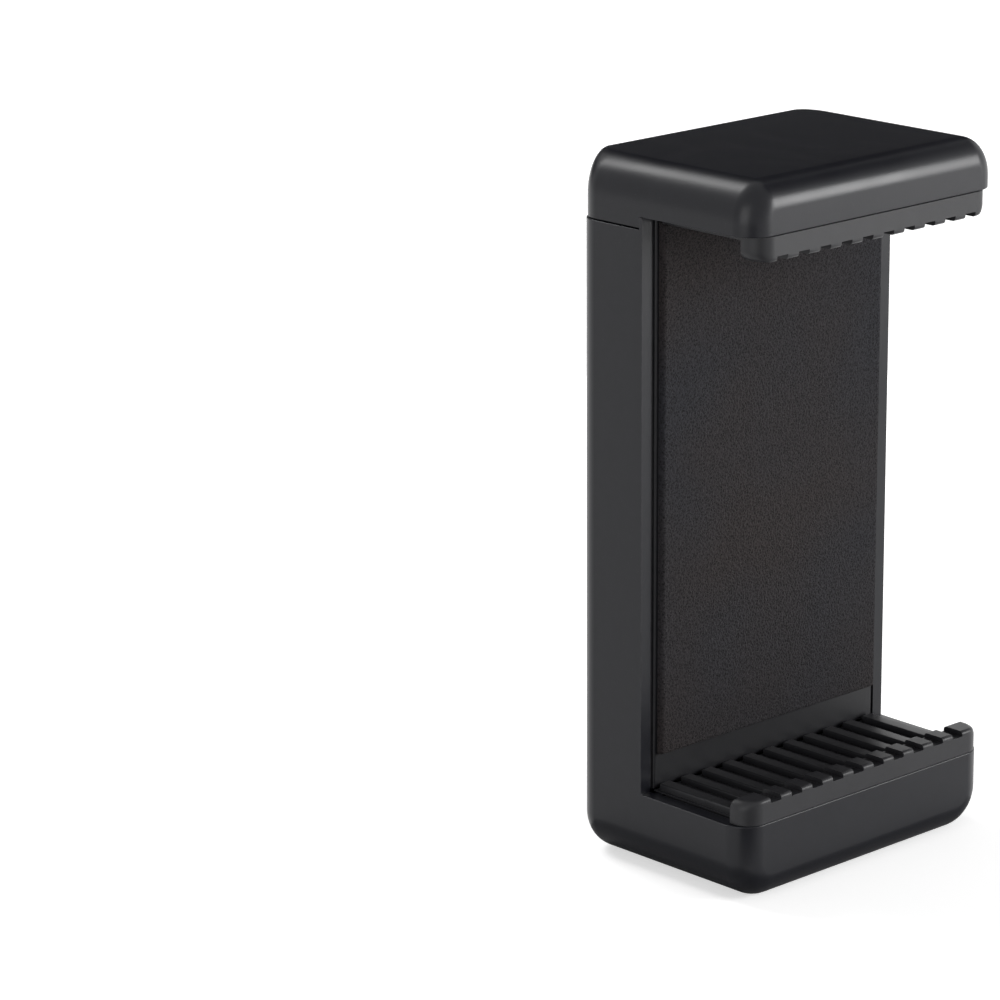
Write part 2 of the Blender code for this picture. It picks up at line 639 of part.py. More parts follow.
build_housing(black_plastic)
build_cover(cover_plastic)
build_pad(foam)
build_upper_jaw(black_plastic)
lower_plug = WIDTH / 2 - JAW_WALL - FIT
build_grip("lower_grip", LOWER_JAW_TOP, 1, WIDTH / 2 - LOWER_LIP_IN, lower_plug, rubber)
build_grip("upper_grip", JAW_RIM, -1, WIDTH / 2 - UPPER_LIP_IN, lower_plug - HEAD_INSET, rubber)
build_insert("back_insert", (0, BACK, BACK_INSERT_Z), (math.radians(90), 0, 0), brass)
build_insert("bottom_insert", (0, BOTTOM_INSERT_Y, 0), (0, 0, 0), brass)
count = 0
for screw_z in SCREW_HEIGHTS:
    for screw_x in (-SCREW_X, SCREW_X):
        count += 1
        build_screw("cover_screw_%d" % count, screw_x, screw_z, steel)
for label, side in (("left", -1), ("right", 1)):
    build_pin("upper_pin_" + label, side * SPRING_X, UPPER_PIN_Z, LEG_OUTER - LEG_INNER - 2 * SEAT,
              steel)
    build_pin("lower_pin_" + label, side * SPRING_X, LOWER_PIN_Z, 2 * PIN_RIB_SPREAD + PIN_RIB, steel)
    build_spring("spring_" + label, side * SPRING_X, steel)
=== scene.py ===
import math

import bmesh
import bpy
from mathutils import Matrix, Vector, noise


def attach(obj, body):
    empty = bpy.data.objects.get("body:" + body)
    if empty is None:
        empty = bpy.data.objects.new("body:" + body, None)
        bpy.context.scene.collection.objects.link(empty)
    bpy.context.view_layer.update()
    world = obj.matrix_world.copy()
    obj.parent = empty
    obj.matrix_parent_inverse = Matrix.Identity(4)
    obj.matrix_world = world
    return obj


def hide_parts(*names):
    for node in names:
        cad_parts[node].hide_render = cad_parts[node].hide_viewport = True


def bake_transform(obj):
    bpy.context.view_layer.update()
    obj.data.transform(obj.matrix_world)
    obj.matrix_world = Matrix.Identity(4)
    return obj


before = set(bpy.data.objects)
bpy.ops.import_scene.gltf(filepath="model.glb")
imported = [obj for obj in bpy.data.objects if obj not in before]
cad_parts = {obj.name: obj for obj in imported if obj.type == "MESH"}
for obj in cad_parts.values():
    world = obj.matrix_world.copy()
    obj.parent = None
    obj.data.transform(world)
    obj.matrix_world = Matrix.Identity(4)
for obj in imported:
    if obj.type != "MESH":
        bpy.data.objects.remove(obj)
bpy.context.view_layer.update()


# camera, where the picture was taken from
cameraSet = {
    "eye": (-0.35079, -0.32887, 0.18051),
    "azimuth": -42.8225,
    "elevation": 16.0677,
    "roll": -0.3896,
    "lens": 151.94,
    "sensor": 36.0,
    "nearest": 0.01,
}


def addCamera(s):
    az, el, roll = (math.radians(s[k]) for k in ("azimuth", "elevation", "roll"))
    back = Vector((math.sin(az) * math.cos(el), -math.cos(az) * math.cos(el), math.sin(el)))
    right = Vector((0, 0, 1)).cross(back).normalized()
    up = back.cross(right)
    leanRight = right * math.cos(roll) + up * math.sin(roll)
    leanUp = up * math.cos(roll) - right * math.sin(roll)
    data = bpy.data.cameras.new("camera")
    data.lens = s["lens"]
    data.sensor_width = s["sensor"]
    data.clip_start = s["nearest"]
    cam = bpy.data.objects.new("camera", data)
    turn = Matrix((leanRight, leanUp, back)).transposed().to_4x4()
    cam.matrix_world = Matrix.Translation(s["eye"]) @ turn
    bpy.context.collection.objects.link(cam)
    bpy.context.scene.camera = cam


addCamera(cameraSet)
print("camera placed")


# node helpers
def addNode(tree, kind, inputs=(), **values):
    n = tree.nodes.new(kind)
    for key, value in values.items():
        setattr(n, key, value)
    for key, value in dict(inputs).items():
        if hasattr(value, "is_output"):
            tree.links.new(value, n.inputs[key])
        else:
            n.inputs[key].default_value = value
    return n


def mathNode(tree, operation, *numbers, clamp=False):
    return addNode(tree, "ShaderNodeMath", dict(enumerate(numbers)), operation=operation,
                   use_clamp=clamp).outputs[0]


def product(tree, first, *others):
    for other in others:
        first = mathNode(tree, "MULTIPLY", first, other)
    return first


def ramp(tree, value, start, end, low=0.0, high=1.0):
    # runs from low to high while the value runs from start to end, and holds them outside
    return addNode(tree, "ShaderNodeMapRange", {
        "Value": value, "From Min": start, "From Max": end, "To Min": low, "To Max": high}).outputs[0]


def newGroup(name, kind, inputs, outputs):
    tree = bpy.data.node_groups.new(name, kind)
    for socket, form, value in inputs:
        s = tree.interface.new_socket(socket, in_out="INPUT", socket_type=form)
        if value is not None:
            s.default_value = value
    for socket, form in outputs:
        tree.interface.new_socket(socket, in_out="OUTPUT", socket_type=form)
    tree.nodes.new("NodeGroupOutput")
    return tree, tree.nodes.new("NodeGroupInput").outputs


def feed(tree, **pairs):
    end = tree.nodes["Group Output"]
    for key, value in pairs.items():
        tree.links.new(value, end.inputs[key])


# shader groups that several finishes share
def mouldGrainGroup():
    tree, given = newGroup(
        "mouldGrain", "ShaderNodeTree",
        (("Place", "NodeSocketVector", None), ("Grain", "NodeSocketFloat", 5000.0),
         ("Flow", "NodeSocketFloat", 0.3)),
        (("Height", "NodeSocketFloat"), ("Shade", "NodeSocketFloat")))
    fine = addNode(tree, "ShaderNodeTexNoise", {
        "Vector": given["Place"], "Scale": given["Grain"], "Detail": 3.0, "Roughness": 0.6})
    # flow marks of the melt, some eight times as broad as the grain
    broadScale = product(tree, given["Grain"], 0.13)
    broad = addNode(tree, "ShaderNodeTexNoise", {
        "Vector": given["Place"], "Scale": broadScale, "Detail": 2.0, "Roughness": 0.5})
    flow = product(tree, broad.outputs["Fac"], given["Flow"])
    height = mathNode(tree, "ADD", fine.outputs["Fac"], flow)
    feed(tree, Height=height, Shade=ramp(tree, broad.outputs["Fac"], 0.3, 0.7))
    return tree


def handlingGroup():
    # faint rubbed and dusty patches from being handled
    tree, given = newGroup(
        "handling", "ShaderNodeTree",
        (("Place", "NodeSocketVector", None), ("Patch", "NodeSocketFloat", 60.0),
         ("Specks", "NodeSocketFloat", 2500.0)),
        (("Rubbed", "NodeSocketFloat"), ("Dust", "NodeSocketFloat")))
    patch = addNode(tree, "ShaderNodeTexNoise", {
        "Vector": given["Place"], "Scale": given["Patch"], "Detail": 4.0, "Roughness": 0.55,
        "Distortion": 0.6})
    rubbed = addNode(tree, "ShaderNodeMapRange", {
        "Value": patch.outputs["Fac"], "From Min": 0.4, "From Max": 0.75}, interpolation_type="SMOOTHSTEP")
    specks = addNode(tree, "ShaderNodeTexVoronoi", {
        "Vector": given["Place"], "Scale": given["Specks"], "Randomness": 1.0})
    dot = ramp(tree, specks.outputs["Distance"], 0.10, 0.04)
    dust = product(tree, dot, patch.outputs["Fac"])
    feed(tree, Rubbed=rubbed.outputs["Result"], Dust=dust)
    return tree


def paintedEdgeHighlightGroup():
    # painted edge highlight: paler edges, found where the bevelled normal turns away from the true one,
    # broken up by noise
    tree, given = newGroup(
        "paintedEdgeHighlight", "ShaderNodeTree",
        (("Place", "NodeSocketVector", None), ("Reach", "NodeSocketFloat", 0.0003)),
        (("Edge", "NodeSocketFloat"),))
    soft = addNode(tree, "ShaderNodeBevel", {"Radius": given["Reach"]}, samples=4)
    true = addNode(tree, "ShaderNodeNewGeometry")
    dot = addNode(tree, "ShaderNodeVectorMath", {0: soft.outputs[0], 1: true.outputs["Normal"]},
                  operation="DOT_PRODUCT")
    bend = ramp(tree, dot.outputs["Value"], 0.995, 0.90)
    breakUp = addNode(tree, "ShaderNodeTexNoise", {"Vector": given["Place"], "Scale": 900.0, "Detail": 2.0})
    paintedEdge = ramp(tree, breakUp.outputs["Fac"], 0.35, 0.7)
    feed(tree, Edge=product(tree, bend, paintedEdge))
    return tree


mouldGrain = mouldGrainGroup()
handling = handlingGroup()
paintedEdgeHighlight = paintedEdgeHighlightGroup()


def newMaterial(name):
    mat = bpy.data.materials.new(name)
    mat.use_nodes = True
    return mat, mat.node_tree, mat.node_tree.nodes["Principled BSDF"]


def place(tree, socket="Object"):
    return addNode(tree, "ShaderNodeTexCoord").outputs[socket]


def useGroup(tree, group, **inputs):
    return addNode(tree, "ShaderNodeGroup", inputs, node_tree=group).outputs


def mixColour(tree, fac, a, b):
    n = addNode(tree, "ShaderNodeMix", data_type="RGBA")
    for socket, value in ((n.inputs[0], fac), (n.inputs[6], a), (n.inputs[7], b)):
        if hasattr(value, "is_output"):
            tree.links.new(value, socket)
        elif isinstance(value, tuple):
            socket.default_value = (*value, 1)
        else:
            socket.default_value = value
    return n.outputs[2]


def bump(tree, height, strength, distance):
    return addNode(tree, "ShaderNodeBump", {
        "Height": height, "Strength": strength, "Distance": distance}).outputs[0]


# moulded black plastic and rubber: dark, with a fine spark-eroded grain and a painted highlight along their
# edges
mouldings = {
    "satinPlastic": {"base": (0.0058, 0.0060, 0.0086), "paintedEdge": (0.028, 0.029, 0.033), "rough": (0.25, 0.31),
                     "grain": 5200.0, "depth": 0.10, "specular": 0.26, "reach": 0.00025},
    "coverPlastic": {"base": (0.0052, 0.0052, 0.0066), "paintedEdge": (0.028, 0.028, 0.031), "rough": (0.36, 0.46),
                     "grain": 4200.0, "depth": 0.16, "specular": 0.26, "reach": 0.0002},
    "gripRubber": {"base": (0.0165, 0.0165, 0.0185), "paintedEdge": (0.030, 0.030, 0.033), "rough": (0.32, 0.42),
                   "grain": 3200.0, "depth": 0.10, "specular": 0.26, "reach": 0.0002},
}
mouldedWearAndHighlight = {
    "flow": 0.35, "patch": 55.0, "specks": 1800.0, "paleness": 1.5, "paleShare": 0.35, "edgeShare": 0.7,
    "dust": (0.06, 0.06, 0.06), "dustShare": 0.5, "grainRough": 0.04, "grainHigh": 0.00006,
}


def mouldedMaterial(name, s, wearAndHighlight):
    mat, tree, shader = newMaterial(name)
    where = place(tree)
    grain = useGroup(tree, mouldGrain, Place=where, Grain=s["grain"], Flow=wearAndHighlight["flow"])
    touch = useGroup(tree, handling, Place=where, Patch=wearAndHighlight["patch"], Specks=wearAndHighlight["specks"])
    paintedEdge = useGroup(tree, paintedEdgeHighlight, Place=where, Reach=s["reach"])
    pale = tuple(wearAndHighlight["paleness"] * c for c in s["base"])
    tone = mixColour(tree, product(tree, grain["Shade"], wearAndHighlight["paleShare"]), s["base"], pale)
    # the edges are mixed towards a paler colour: a painted edge highlight
    edged = mixColour(tree, product(tree, paintedEdge["Edge"], wearAndHighlight["edgeShare"]), tone, s["paintedEdge"])
    dusty = mixColour(tree, product(tree, touch["Dust"], wearAndHighlight["dustShare"]), edged, wearAndHighlight["dust"])
    tree.links.new(dusty, shader.inputs["Base Color"])
    smooth, dull = s["rough"]
    rough = mathNode(tree, "MULTIPLY_ADD", grain["Height"], wearAndHighlight["grainRough"],
                     ramp(tree, touch["Rubbed"], 0, 1, dull, smooth))
    tree.links.new(rough, shader.inputs["Roughness"])
    tree.links.new(bump(tree, grain["Height"], s["depth"], wearAndHighlight["grainHigh"]), shader.inputs["Normal"])
    shader.inputs["Specular IOR Level"].default_value = s["specular"]
    return mat


satinPlastic = mouldedMaterial("satinPlastic", mouldings["satinPlastic"], mouldedWearAndHighlight)
coverPlastic = mouldedMaterial("coverPlastic", mouldings["coverPlastic"], mouldedWearAndHighlight)
gripRubber = mouldedMaterial("gripRubber", mouldings["gripRubber"], mouldedWearAndHighlight)


# open-cell foam: brownish grey cell walls, with painted shade in the pores between them and painted glints
# on the fuzz
foamLook = {
    "cells": 3150.0, "fineCells": 6500.0, "fuzz": 5200.0, "warp": 1500.0, "warpHigh": 0.00025,
    "cellShare": 0.7, "fineShare": 0.5, "fuzzShare": 0.6, "wallFrom": (0.54, 0.98),
    "pore": (0.0024, 0.0020, 0.0025), "wall": (0.0205, 0.0162, 0.0164), "cool": (0.0165, 0.0165, 0.0205),
    "coolPatch": 38.0, "bright": (0.17, 0.145, 0.150), "brightFrom": (0.60, 0.78), "brightShare": 0.5,
    "rough": (0.98, 0.82), "poreDepth": 1.3, "poreHigh": 0.00015, "specular": 0.25,
}


def foamMaterial(s):
    mat, tree, shader = newMaterial("blackFoam")
    where = place(tree)
    warp = addNode(tree, "ShaderNodeTexNoise", {"Vector": where, "Scale": s["warp"], "Detail": 2.0})
    bent = addNode(tree, "ShaderNodeVectorMath", {0: warp.outputs["Color"], 1: (s["warpHigh"],) * 3},
                   operation="MULTIPLY")
    spot = addNode(tree, "ShaderNodeVectorMath", {0: where, 1: bent.outputs[0]}, operation="ADD").outputs[0]
    cells = addNode(tree, "ShaderNodeTexVoronoi", {"Vector": spot, "Scale": s["cells"]})
    fine = addNode(tree, "ShaderNodeTexVoronoi", {"Vector": spot, "Scale": s["fineCells"]})
    fuzz = addNode(tree, "ShaderNodeTexNoise", {
        "Vector": where, "Scale": s["fuzz"], "Detail": 4.0, "Roughness": 0.7})
    height = product(tree, cells.outputs["Distance"], s["cellShare"])
    height = mathNode(tree, "MULTIPLY_ADD", fine.outputs["Distance"], s["fineShare"], height)
    height = mathNode(tree, "MULTIPLY_ADD", fuzz.outputs["Fac"], s["fuzzShare"], height)
    wall = ramp(tree, height, *s["wallFrom"])
    patch = addNode(tree, "ShaderNodeTexNoise", {"Vector": where, "Scale": s["coolPatch"], "Detail": 2.0})
    tint = mixColour(tree, ramp(tree, patch.outputs["Fac"], 0.35, 0.65), s["wall"], s["cool"])
    # low places of the height take the near-black pore colour: painted shade in the pores
    tone = mixColour(tree, wall, s["pore"], tint)
    # pale specks on the fuzz: painted glints
    glint = product(tree, ramp(tree, fuzz.outputs["Fac"], *s["brightFrom"]), s["brightShare"])
    tree.links.new(mixColour(tree, glint, tone, s["bright"]), shader.inputs["Base Color"])
    tree.links.new(ramp(tree, wall, 0, 1, *s["rough"]), shader.inputs["Roughness"])
    tree.links.new(bump(tree, height, s["poreDepth"], s["poreHigh"]), shader.inputs["Normal"])
    shader.inputs["Specular IOR Level"].default_value = s["specular"]
    return mat


blackFoam = foamMaterial(foamLook)


# metals: turned brass and zinc-plated steel
metals = {
    "turnedBrass": {"base": (0.78, 0.53, 0.22), "dark": (0.45, 0.27, 0.09), "rough": (0.20, 0.34)},
    "zincSteel": {"base": (0.60, 0.60, 0.62), "dark": (0.34, 0.34, 0.36), "rough": (0.24, 0.42)},
}
metalWearAndHighlight = {
    "patch": 300.0, "specks": 3000.0, "darkShare": 0.5, "edgeShare": 0.5, "edgeBright": 1.15,
    "reach": 0.0002, "marksDepth": 0.25, "marksHigh": 0.00003,
}


def toolMarks(tree):
    # they run round the insert, so they follow the second UV coordinate
    split = addNode(tree, "ShaderNodeSeparateXYZ", {0: place(tree, "UV")})
    stretched = addNode(tree, "ShaderNodeCombineXYZ", {
        0: product(tree, split.outputs[0], 3.0), 1: split.outputs[1]})
    return addNode(tree, "ShaderNodeTexNoise", {
        "Vector": stretched.outputs[0], "Scale": 9.0, "Detail": 3.0, "Roughness": 0.7}).outputs["Fac"]


def platingMarks(tree):
    return addNode(tree, "ShaderNodeTexNoise", {
        "Vector": place(tree), "Scale": 3500.0, "Detail": 3.0, "Roughness": 0.6}).outputs["Fac"]


def metalMaterial(name, s, wearAndHighlight, makeMarks):
    mat, tree, shader = newMaterial(name)
    where = place(tree)
    marks = makeMarks(tree)
    touch = useGroup(tree, handling, Place=where, Patch=wearAndHighlight["patch"], Specks=wearAndHighlight["specks"])
    paintedEdge = useGroup(tree, paintedEdgeHighlight, Place=where, Reach=wearAndHighlight["reach"])
    tone = mixColour(tree, product(tree, touch["Rubbed"], wearAndHighlight["darkShare"]), s["base"], s["dark"])
    # edges are mixed towards a brighter base colour: a painted edge highlight
    bright = tuple(min(1.0, wearAndHighlight["edgeBright"] * c) for c in s["base"])
    edged = mixColour(tree, product(tree, paintedEdge["Edge"], wearAndHighlight["edgeShare"]), tone, bright)
    tree.links.new(edged, shader.inputs["Base Color"])
    tree.links.new(ramp(tree, marks, 0, 1, *s["rough"]), shader.inputs["Roughness"])
    tree.links.new(bump(tree, marks, wearAndHighlight["marksDepth"], wearAndHighlight["marksHigh"]), shader.inputs["Normal"])
    shader.inputs["Metallic"].default_value = 1.0
    return mat


turnedBrass = metalMaterial("turnedBrass", metals["turnedBrass"], metalWearAndHighlight, toolMarks)
zincSteel = metalMaterial("zincSteel", metals["zincSteel"], metalWearAndHighlight, platingMarks)
print("finishes made")


# mesh helpers; everything is modelled in millimetres and made metres at the end
millimetre = 0.001
weld = 0.0005    # points nearer than this are made one
snug = 0.002     # how near to a level a point on it lies
pick = 0.01      # slack in the tests that pick a stretch of edges
far = 30.0       # how far from the middle a cutting form ends, clear of the clamp
sky = 99.0       # and how high
past = 2.0       # how far a cut runs on past the face that it opens
beyond = 0.3     # an edge lying this much outside a wall's inner face is its outer edge
hardEdge = 35    # degrees; only sharper edges are softened


def meshObject(name, bm):
    mesh = bpy.data.meshes.new(name)
    bmesh.ops.recalc_face_normals(bm, faces=bm.faces)
    bm.to_mesh(mesh)
    bm.free()
    obj = bpy.data.objects.new(name, mesh)
    bpy.context.collection.objects.link(obj)
    return obj


def drop(obj):
    mesh = obj.data
    bpy.data.objects.remove(obj, do_unlink=True)
    bpy.data.meshes.remove(mesh)


def bake(obj):
    # turns an object's modifiers into plain mesh
    graph = bpy.context.evaluated_depsgraph_get()
    mesh = bpy.data.meshes.new_from_object(obj.evaluated_get(graph))
    old = obj.data
    obj.modifiers.clear()
    obj.data = mesh
    bpy.data.meshes.remove(old)


def boxShape(low, high):
    low, high = Vector(low), Vector(high)
    bm = bmesh.new()
    bmesh.ops.create_cube(bm, size=1.0)
    size = Matrix.Diagonal(high - low).to_4x4()
    bmesh.ops.transform(bm, matrix=Matrix.Translation((low + high) / 2) @ size, verts=bm.verts)
    return bm


def runsAlong(edge, axis):
    way = edge.verts[1].co - edge.verts[0].co
    return abs(way[axis]) > 0.999 * way.length


def roundOff(bm, edges, radius, steps):
    bmesh.ops.bevel(bm, geom=edges, offset=radius, offset_type="OFFSET", segments=steps,
                    profile=0.5, affect="EDGES", clamp_overlap=False)


def frontSlab(low, high, radius, steps):
    # a slab whose corners are round seen from the front
    bm = boxShape(low, high)
    roundOff(bm, [e for e in bm.edges if runsAlong(e, 1)], radius, steps)
    return bm


def sideBox(side, low, high):
    # a box given for the right-hand side, or its mirror image on the left
    (inner, front, foot), (outer, back, top) = low, high
    left, right = sorted((side * inner, side * outer))
    return boxShape((left, front, foot), (right, back, top))


def barShape(centre, axis, radius, low, high, sides=32):
    # a round bar that runs from low to high along an axis through a centre
    bm = bmesh.new()
    bmesh.ops.create_cone(bm, cap_ends=True, segments=sides, radius1=radius, radius2=radius,
                          depth=high - low)
    turn = Vector((0, 0, 1)).rotation_difference(Vector(axis)).to_matrix().to_4x4()
    spot = Matrix.Translation(Vector(centre) + Vector(axis) * (low + high) / 2)
    bmesh.ops.transform(bm, matrix=spot @ turn, verts=bm.verts)
    return bm


def skin(bm, rings):
    # faces between rings of points, each with the next
    for a, b in zip(rings, rings[1:]):
        for k in range(len(a)):
            bm.faces.new((a[k - 1], a[k], b[k], b[k - 1]))


def closedSkin(bm, rings):
    skin(bm, rings)
    bm.faces.new(rings[0])
    bm.faces.new(reversed(rings[-1]))


def shape(obj, steps):
    # cuts and joins in turn: each step is an operation and a form
    tools = []
    for operation, bm in steps:
        tool = bm if isinstance(bm, bpy.types.Object) else meshObject("tool", bm)
        mod = obj.modifiers.new("step", "BOOLEAN")
        mod.operation = operation
        mod.solver = "EXACT"
        mod.object = tool
        tools.append(tool)
    bake(obj)
    for tool in tools:
        drop(tool)


def soften(obj, radius, test, steps=3):
    # small moulded radius on the sharp edges that a test picks out
    bm = bmesh.new()
    bm.from_mesh(obj.data)
    limit = math.radians(hardEdge)
    edges = [e for e in bm.edges if len(e.link_faces) == 2 and e.calc_face_angle() > limit
             and all(test(v.co) for v in e.verts)]
    bmesh.ops.bevel(bm, geom=edges, offset=radius, offset_type="OFFSET", segments=steps,
                    profile=0.5, affect="EDGES", clamp_overlap=True)
    bm.to_mesh(obj.data)
    bm.free()


def near(a, b):
    return abs(a - b) < snug


def finish(obj, mat, body, slot, *replaced, sharp=32):
    # merged, in metres and smooth, with its finish, its body and the nodes it stands for
    mesh = obj.data
    bm = bmesh.new()
    bm.from_mesh(mesh)
    bmesh.ops.remove_doubles(bm, verts=bm.verts, dist=weld)
    bmesh.ops.dissolve_degenerate(bm, edges=bm.edges, dist=weld)
    bm.to_mesh(mesh)
    bm.free()
    mesh.transform(Matrix.Scale(millimetre, 4))
    mesh.materials.clear()
    mesh.materials.append(mat)
    mesh.shade_smooth()
    mesh.set_sharp_from_angle(angle=math.radians(sharp))
    even = obj.modifiers.new("even", "WEIGHTED_NORMAL")
    even.keep_sharp = True
    even.weight = 80
    bake(obj)
    if body:
        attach(obj, body)
    if replaced:
        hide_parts(*replaced)
    print("%s: %d faces" % (obj.name, len(obj.data.polygons)))
    return obj


# outer form of the two mouldings, in millimetres
form = {
    "halfWidth": 21.0, "height": 85.0, "front": -14.0, "back": 14.0, "bodyFront": 3.0,
    "cornerR": 5.0, "topCornerR": 4.0, "backCornerR": 6.2, "frontR": 3.2, "backR": 3.2, "backFade": 1.35,
    "cornerSteps": 18, "rimSteps": 12,
}


def formRing(bm, half, y, corner, across, foot, head):
    # one outline seen from the front; head is how far its top is drawn in, foot the rest
    verts = []
    n = form["cornerSteps"]
    for right, up, start in ((1, 1, 0), (-1, 1, 90), (-1, -1, 180), (1, -1, 270)):
        last, wide = (head, across) if up > 0 else (foot, corner)
        middle = form["height"] - corner if up > 0 else corner
        fade = form["backFade"] if up > 0 and head < foot else 1
        for k in range(n + 1):
            angle = math.radians(start + 90 * k / n)
            turn = math.cos(angle)
            drawn = foot * math.copysign(abs(turn) ** fade, turn)
            verts.append(bm.verts.new((right * (half - wide) + wide * turn - drawn, y,
                                       middle + (corner - last) * math.sin(angle))))
    return verts


def outerForm(name, inset):
    half, corner = form["halfWidth"] - inset, form["cornerR"] - inset
    across = form["topCornerR"] - inset
    turns = [math.pi / 2 * k / form["rimSteps"] for k in range(form["rimSteps"] + 1)]
    bm = bmesh.new()
    rings = []
    for a in turns:
        drawn = form["frontR"] * (1 - math.sin(a))
        y = form["front"] + form["frontR"] * (1 - math.cos(a))
        rings.append(formRing(bm, half, y, corner, across, drawn, drawn))
    for a in turns:
        drawn = form["backR"] * (1 - math.cos(a))
        y = form["back"] - form["backR"] * (1 - math.sin(a))
        wider = (form["backCornerR"] - form["topCornerR"]) * (1 - math.cos(a))
        rings.append(formRing(bm, half, y, corner, across + wider, drawn, 0))
    closedSkin(bm, rings)
    bmesh.ops.connect_verts_nonplanar(bm, angle_limit=math.radians(0.1), faces=bm.faces)
    return meshObject(name, bm)


# housing
housing = {
    "sideWall": 1.55, "backWall": 1.8, "jawWall": 1.8, "floorWall": 2.2, "crossWall": 1.6,
    "jawTop": 9.6, "pocketFoot": 9.3, "stripDepth": 0.5, "top": 77.45, "stripTop": 78.86,
    "tongueHalf": 17.0, "tongueThick": 1.2, "tongueR": 3.0, "tongueTop": 84.96, "tongueRoot": 9.0,
    "ribWide": 1.4, "ribDown": 1.45, "pinRibSpread": 2.85, "pinRibFront": 1.65, "pinRibOver": 1.5,
    "screwX": 4.3, "screwZ": (19.0, 66.0), "screwHoleR": 1.1, "screwHoleDeep": 6.5,
    "screwBossR": 2.3, "screwBossLong": 7.3,
    "insertHoleR": 4.95, "insertDepth": 6.8, "insertBossR": 6.65, "bossFoot": 1.0, "bossDepth": 7.8,
    "backInsertZ": 42.5, "bottomInsertY": -1.0,
    "springX": 13.175, "springY": 7.65, "lowerPinZ": 15.0, "pinHoleR": 0.9, "pinHoleHalf": 4.25,
    "seamEdge": 0.12, "rimEdge": 0.14, "stripEdge": 0.9, "tongueEdge": 0.15, "mouthEdge": 0.15,
}
# the inner faces of its walls, and the middles of those that ribs are rooted in
housing["cavity"] = form["halfWidth"] - housing["sideWall"]
housing["cavityBack"] = form["back"] - housing["backWall"]
housing["tray"] = form["halfWidth"] - housing["jawWall"]
housing["trayFront"] = form["front"] + housing["jawWall"]
housing["crossFront"] = form["bodyFront"] - housing["crossWall"]
housing["frontMiddle"] = form["front"] + housing["jawWall"] / 2
housing["crossMiddle"] = housing["crossFront"] + housing["crossWall"] / 2
inserts = (((0, form["back"], housing["backInsertZ"]), (0, -1, 0)),
           ((0, housing["bottomInsertY"], 0), (0, 0, 1)))


def housingWalls(s):
    f = form
    cavity, cavityBack, jawTop = s["cavity"], s["cavityBack"], s["jawTop"]
    # everything above the side walls but the tongue of the back
    aboveLow = (-far, f["bodyFront"] + s["stripDepth"], s["top"])
    above = meshObject("above", boxShape(aboveLow, (far, far, sky)))
    tongueLow = (-s["tongueHalf"], f["back"] - s["tongueThick"], s["top"] - s["tongueRoot"])
    tongue = frontSlab(tongueLow, (s["tongueHalf"], 2 * far, sky), s["tongueR"], steps=12)
    shape(above, [("DIFFERENCE", tongue)])
    strips = f["bodyFront"] + 2 * s["stripDepth"]
    cuts = [
        boxShape((-far, -far, jawTop), (far, f["bodyFront"], sky)),
        above,
        boxShape((-far, -far, s["stripTop"]), (far, strips, sky)),
        boxShape((-far, 0, s["tongueTop"]), (far, far, sky)),
        boxShape((-cavity, s["crossMiddle"], s["pocketFoot"]), (cavity, cavityBack, sky)),
        boxShape((-cavity, f["bodyFront"], s["floorWall"]), (cavity, cavityBack, jawTop)),
        boxShape((-s["tray"], s["trayFront"], s["floorWall"]), (s["tray"], s["crossFront"], jawTop + past)),
    ]
    return [("DIFFERENCE", cut) for cut in cuts]


def housingRibs(s):
    half, foot, back = s["ribWide"] / 2, s["floorWall"] / 2, s["cavityBack"] + s["backWall"] / 2
    added = []
    for side in (-1, 1):
        x = side * (s["insertBossR"] + s["tray"]) / 2
        added.append(boxShape((x - half, s["frontMiddle"], foot),
                              (x + half, s["crossMiddle"], s["jawTop"] - s["ribDown"])))
        for spread in (-s["pinRibSpread"], s["pinRibSpread"]):
            x = side * s["springX"] + spread
            added.append(boxShape((x - half, s["springY"] - s["pinRibFront"], foot),
                                  (x + half, back, s["lowerPinZ"] + s["pinRibOver"])))
        for z in s["screwZ"]:
            added.append(barShape((side * s["screwX"], s["cavityBack"], z), (0, -1, 0),
                                  s["screwBossR"], -s["backWall"] / 2, s["screwBossLong"]))
    return [("UNION", rib) for rib in added]


def housingHoles(s):
    steps = []
    for mouth, axis in inserts:
        boss = barShape(mouth, axis, s["insertBossR"], s["bossFoot"], s["bossDepth"], sides=48)
        hole = barShape(mouth, axis, s["insertHoleR"], -past, s["insertDepth"], sides=72)
        steps += [("UNION", boss), ("DIFFERENCE", hole)]
    for side in (-1, 1):
        for z in s["screwZ"]:
            hole = barShape((side * s["screwX"], form["bodyFront"], z), (0, 1, 0),
                            s["screwHoleR"], 0, s["screwHoleDeep"], sides=24)
            steps.append(("DIFFERENCE", hole))
        hole = barShape((side * s["springX"], s["springY"], s["lowerPinZ"]), (1, 0, 0),
                        s["pinHoleR"], -s["pinHoleHalf"], s["pinHoleHalf"], sides=24)
        steps.append(("DIFFERENCE", hole))
    return steps


def outsideOf(p, side, front):
    # tells the outer edge of the jaw's walls from the inner one
    return abs(p.x) > side + beyond or p.y < front - beyond


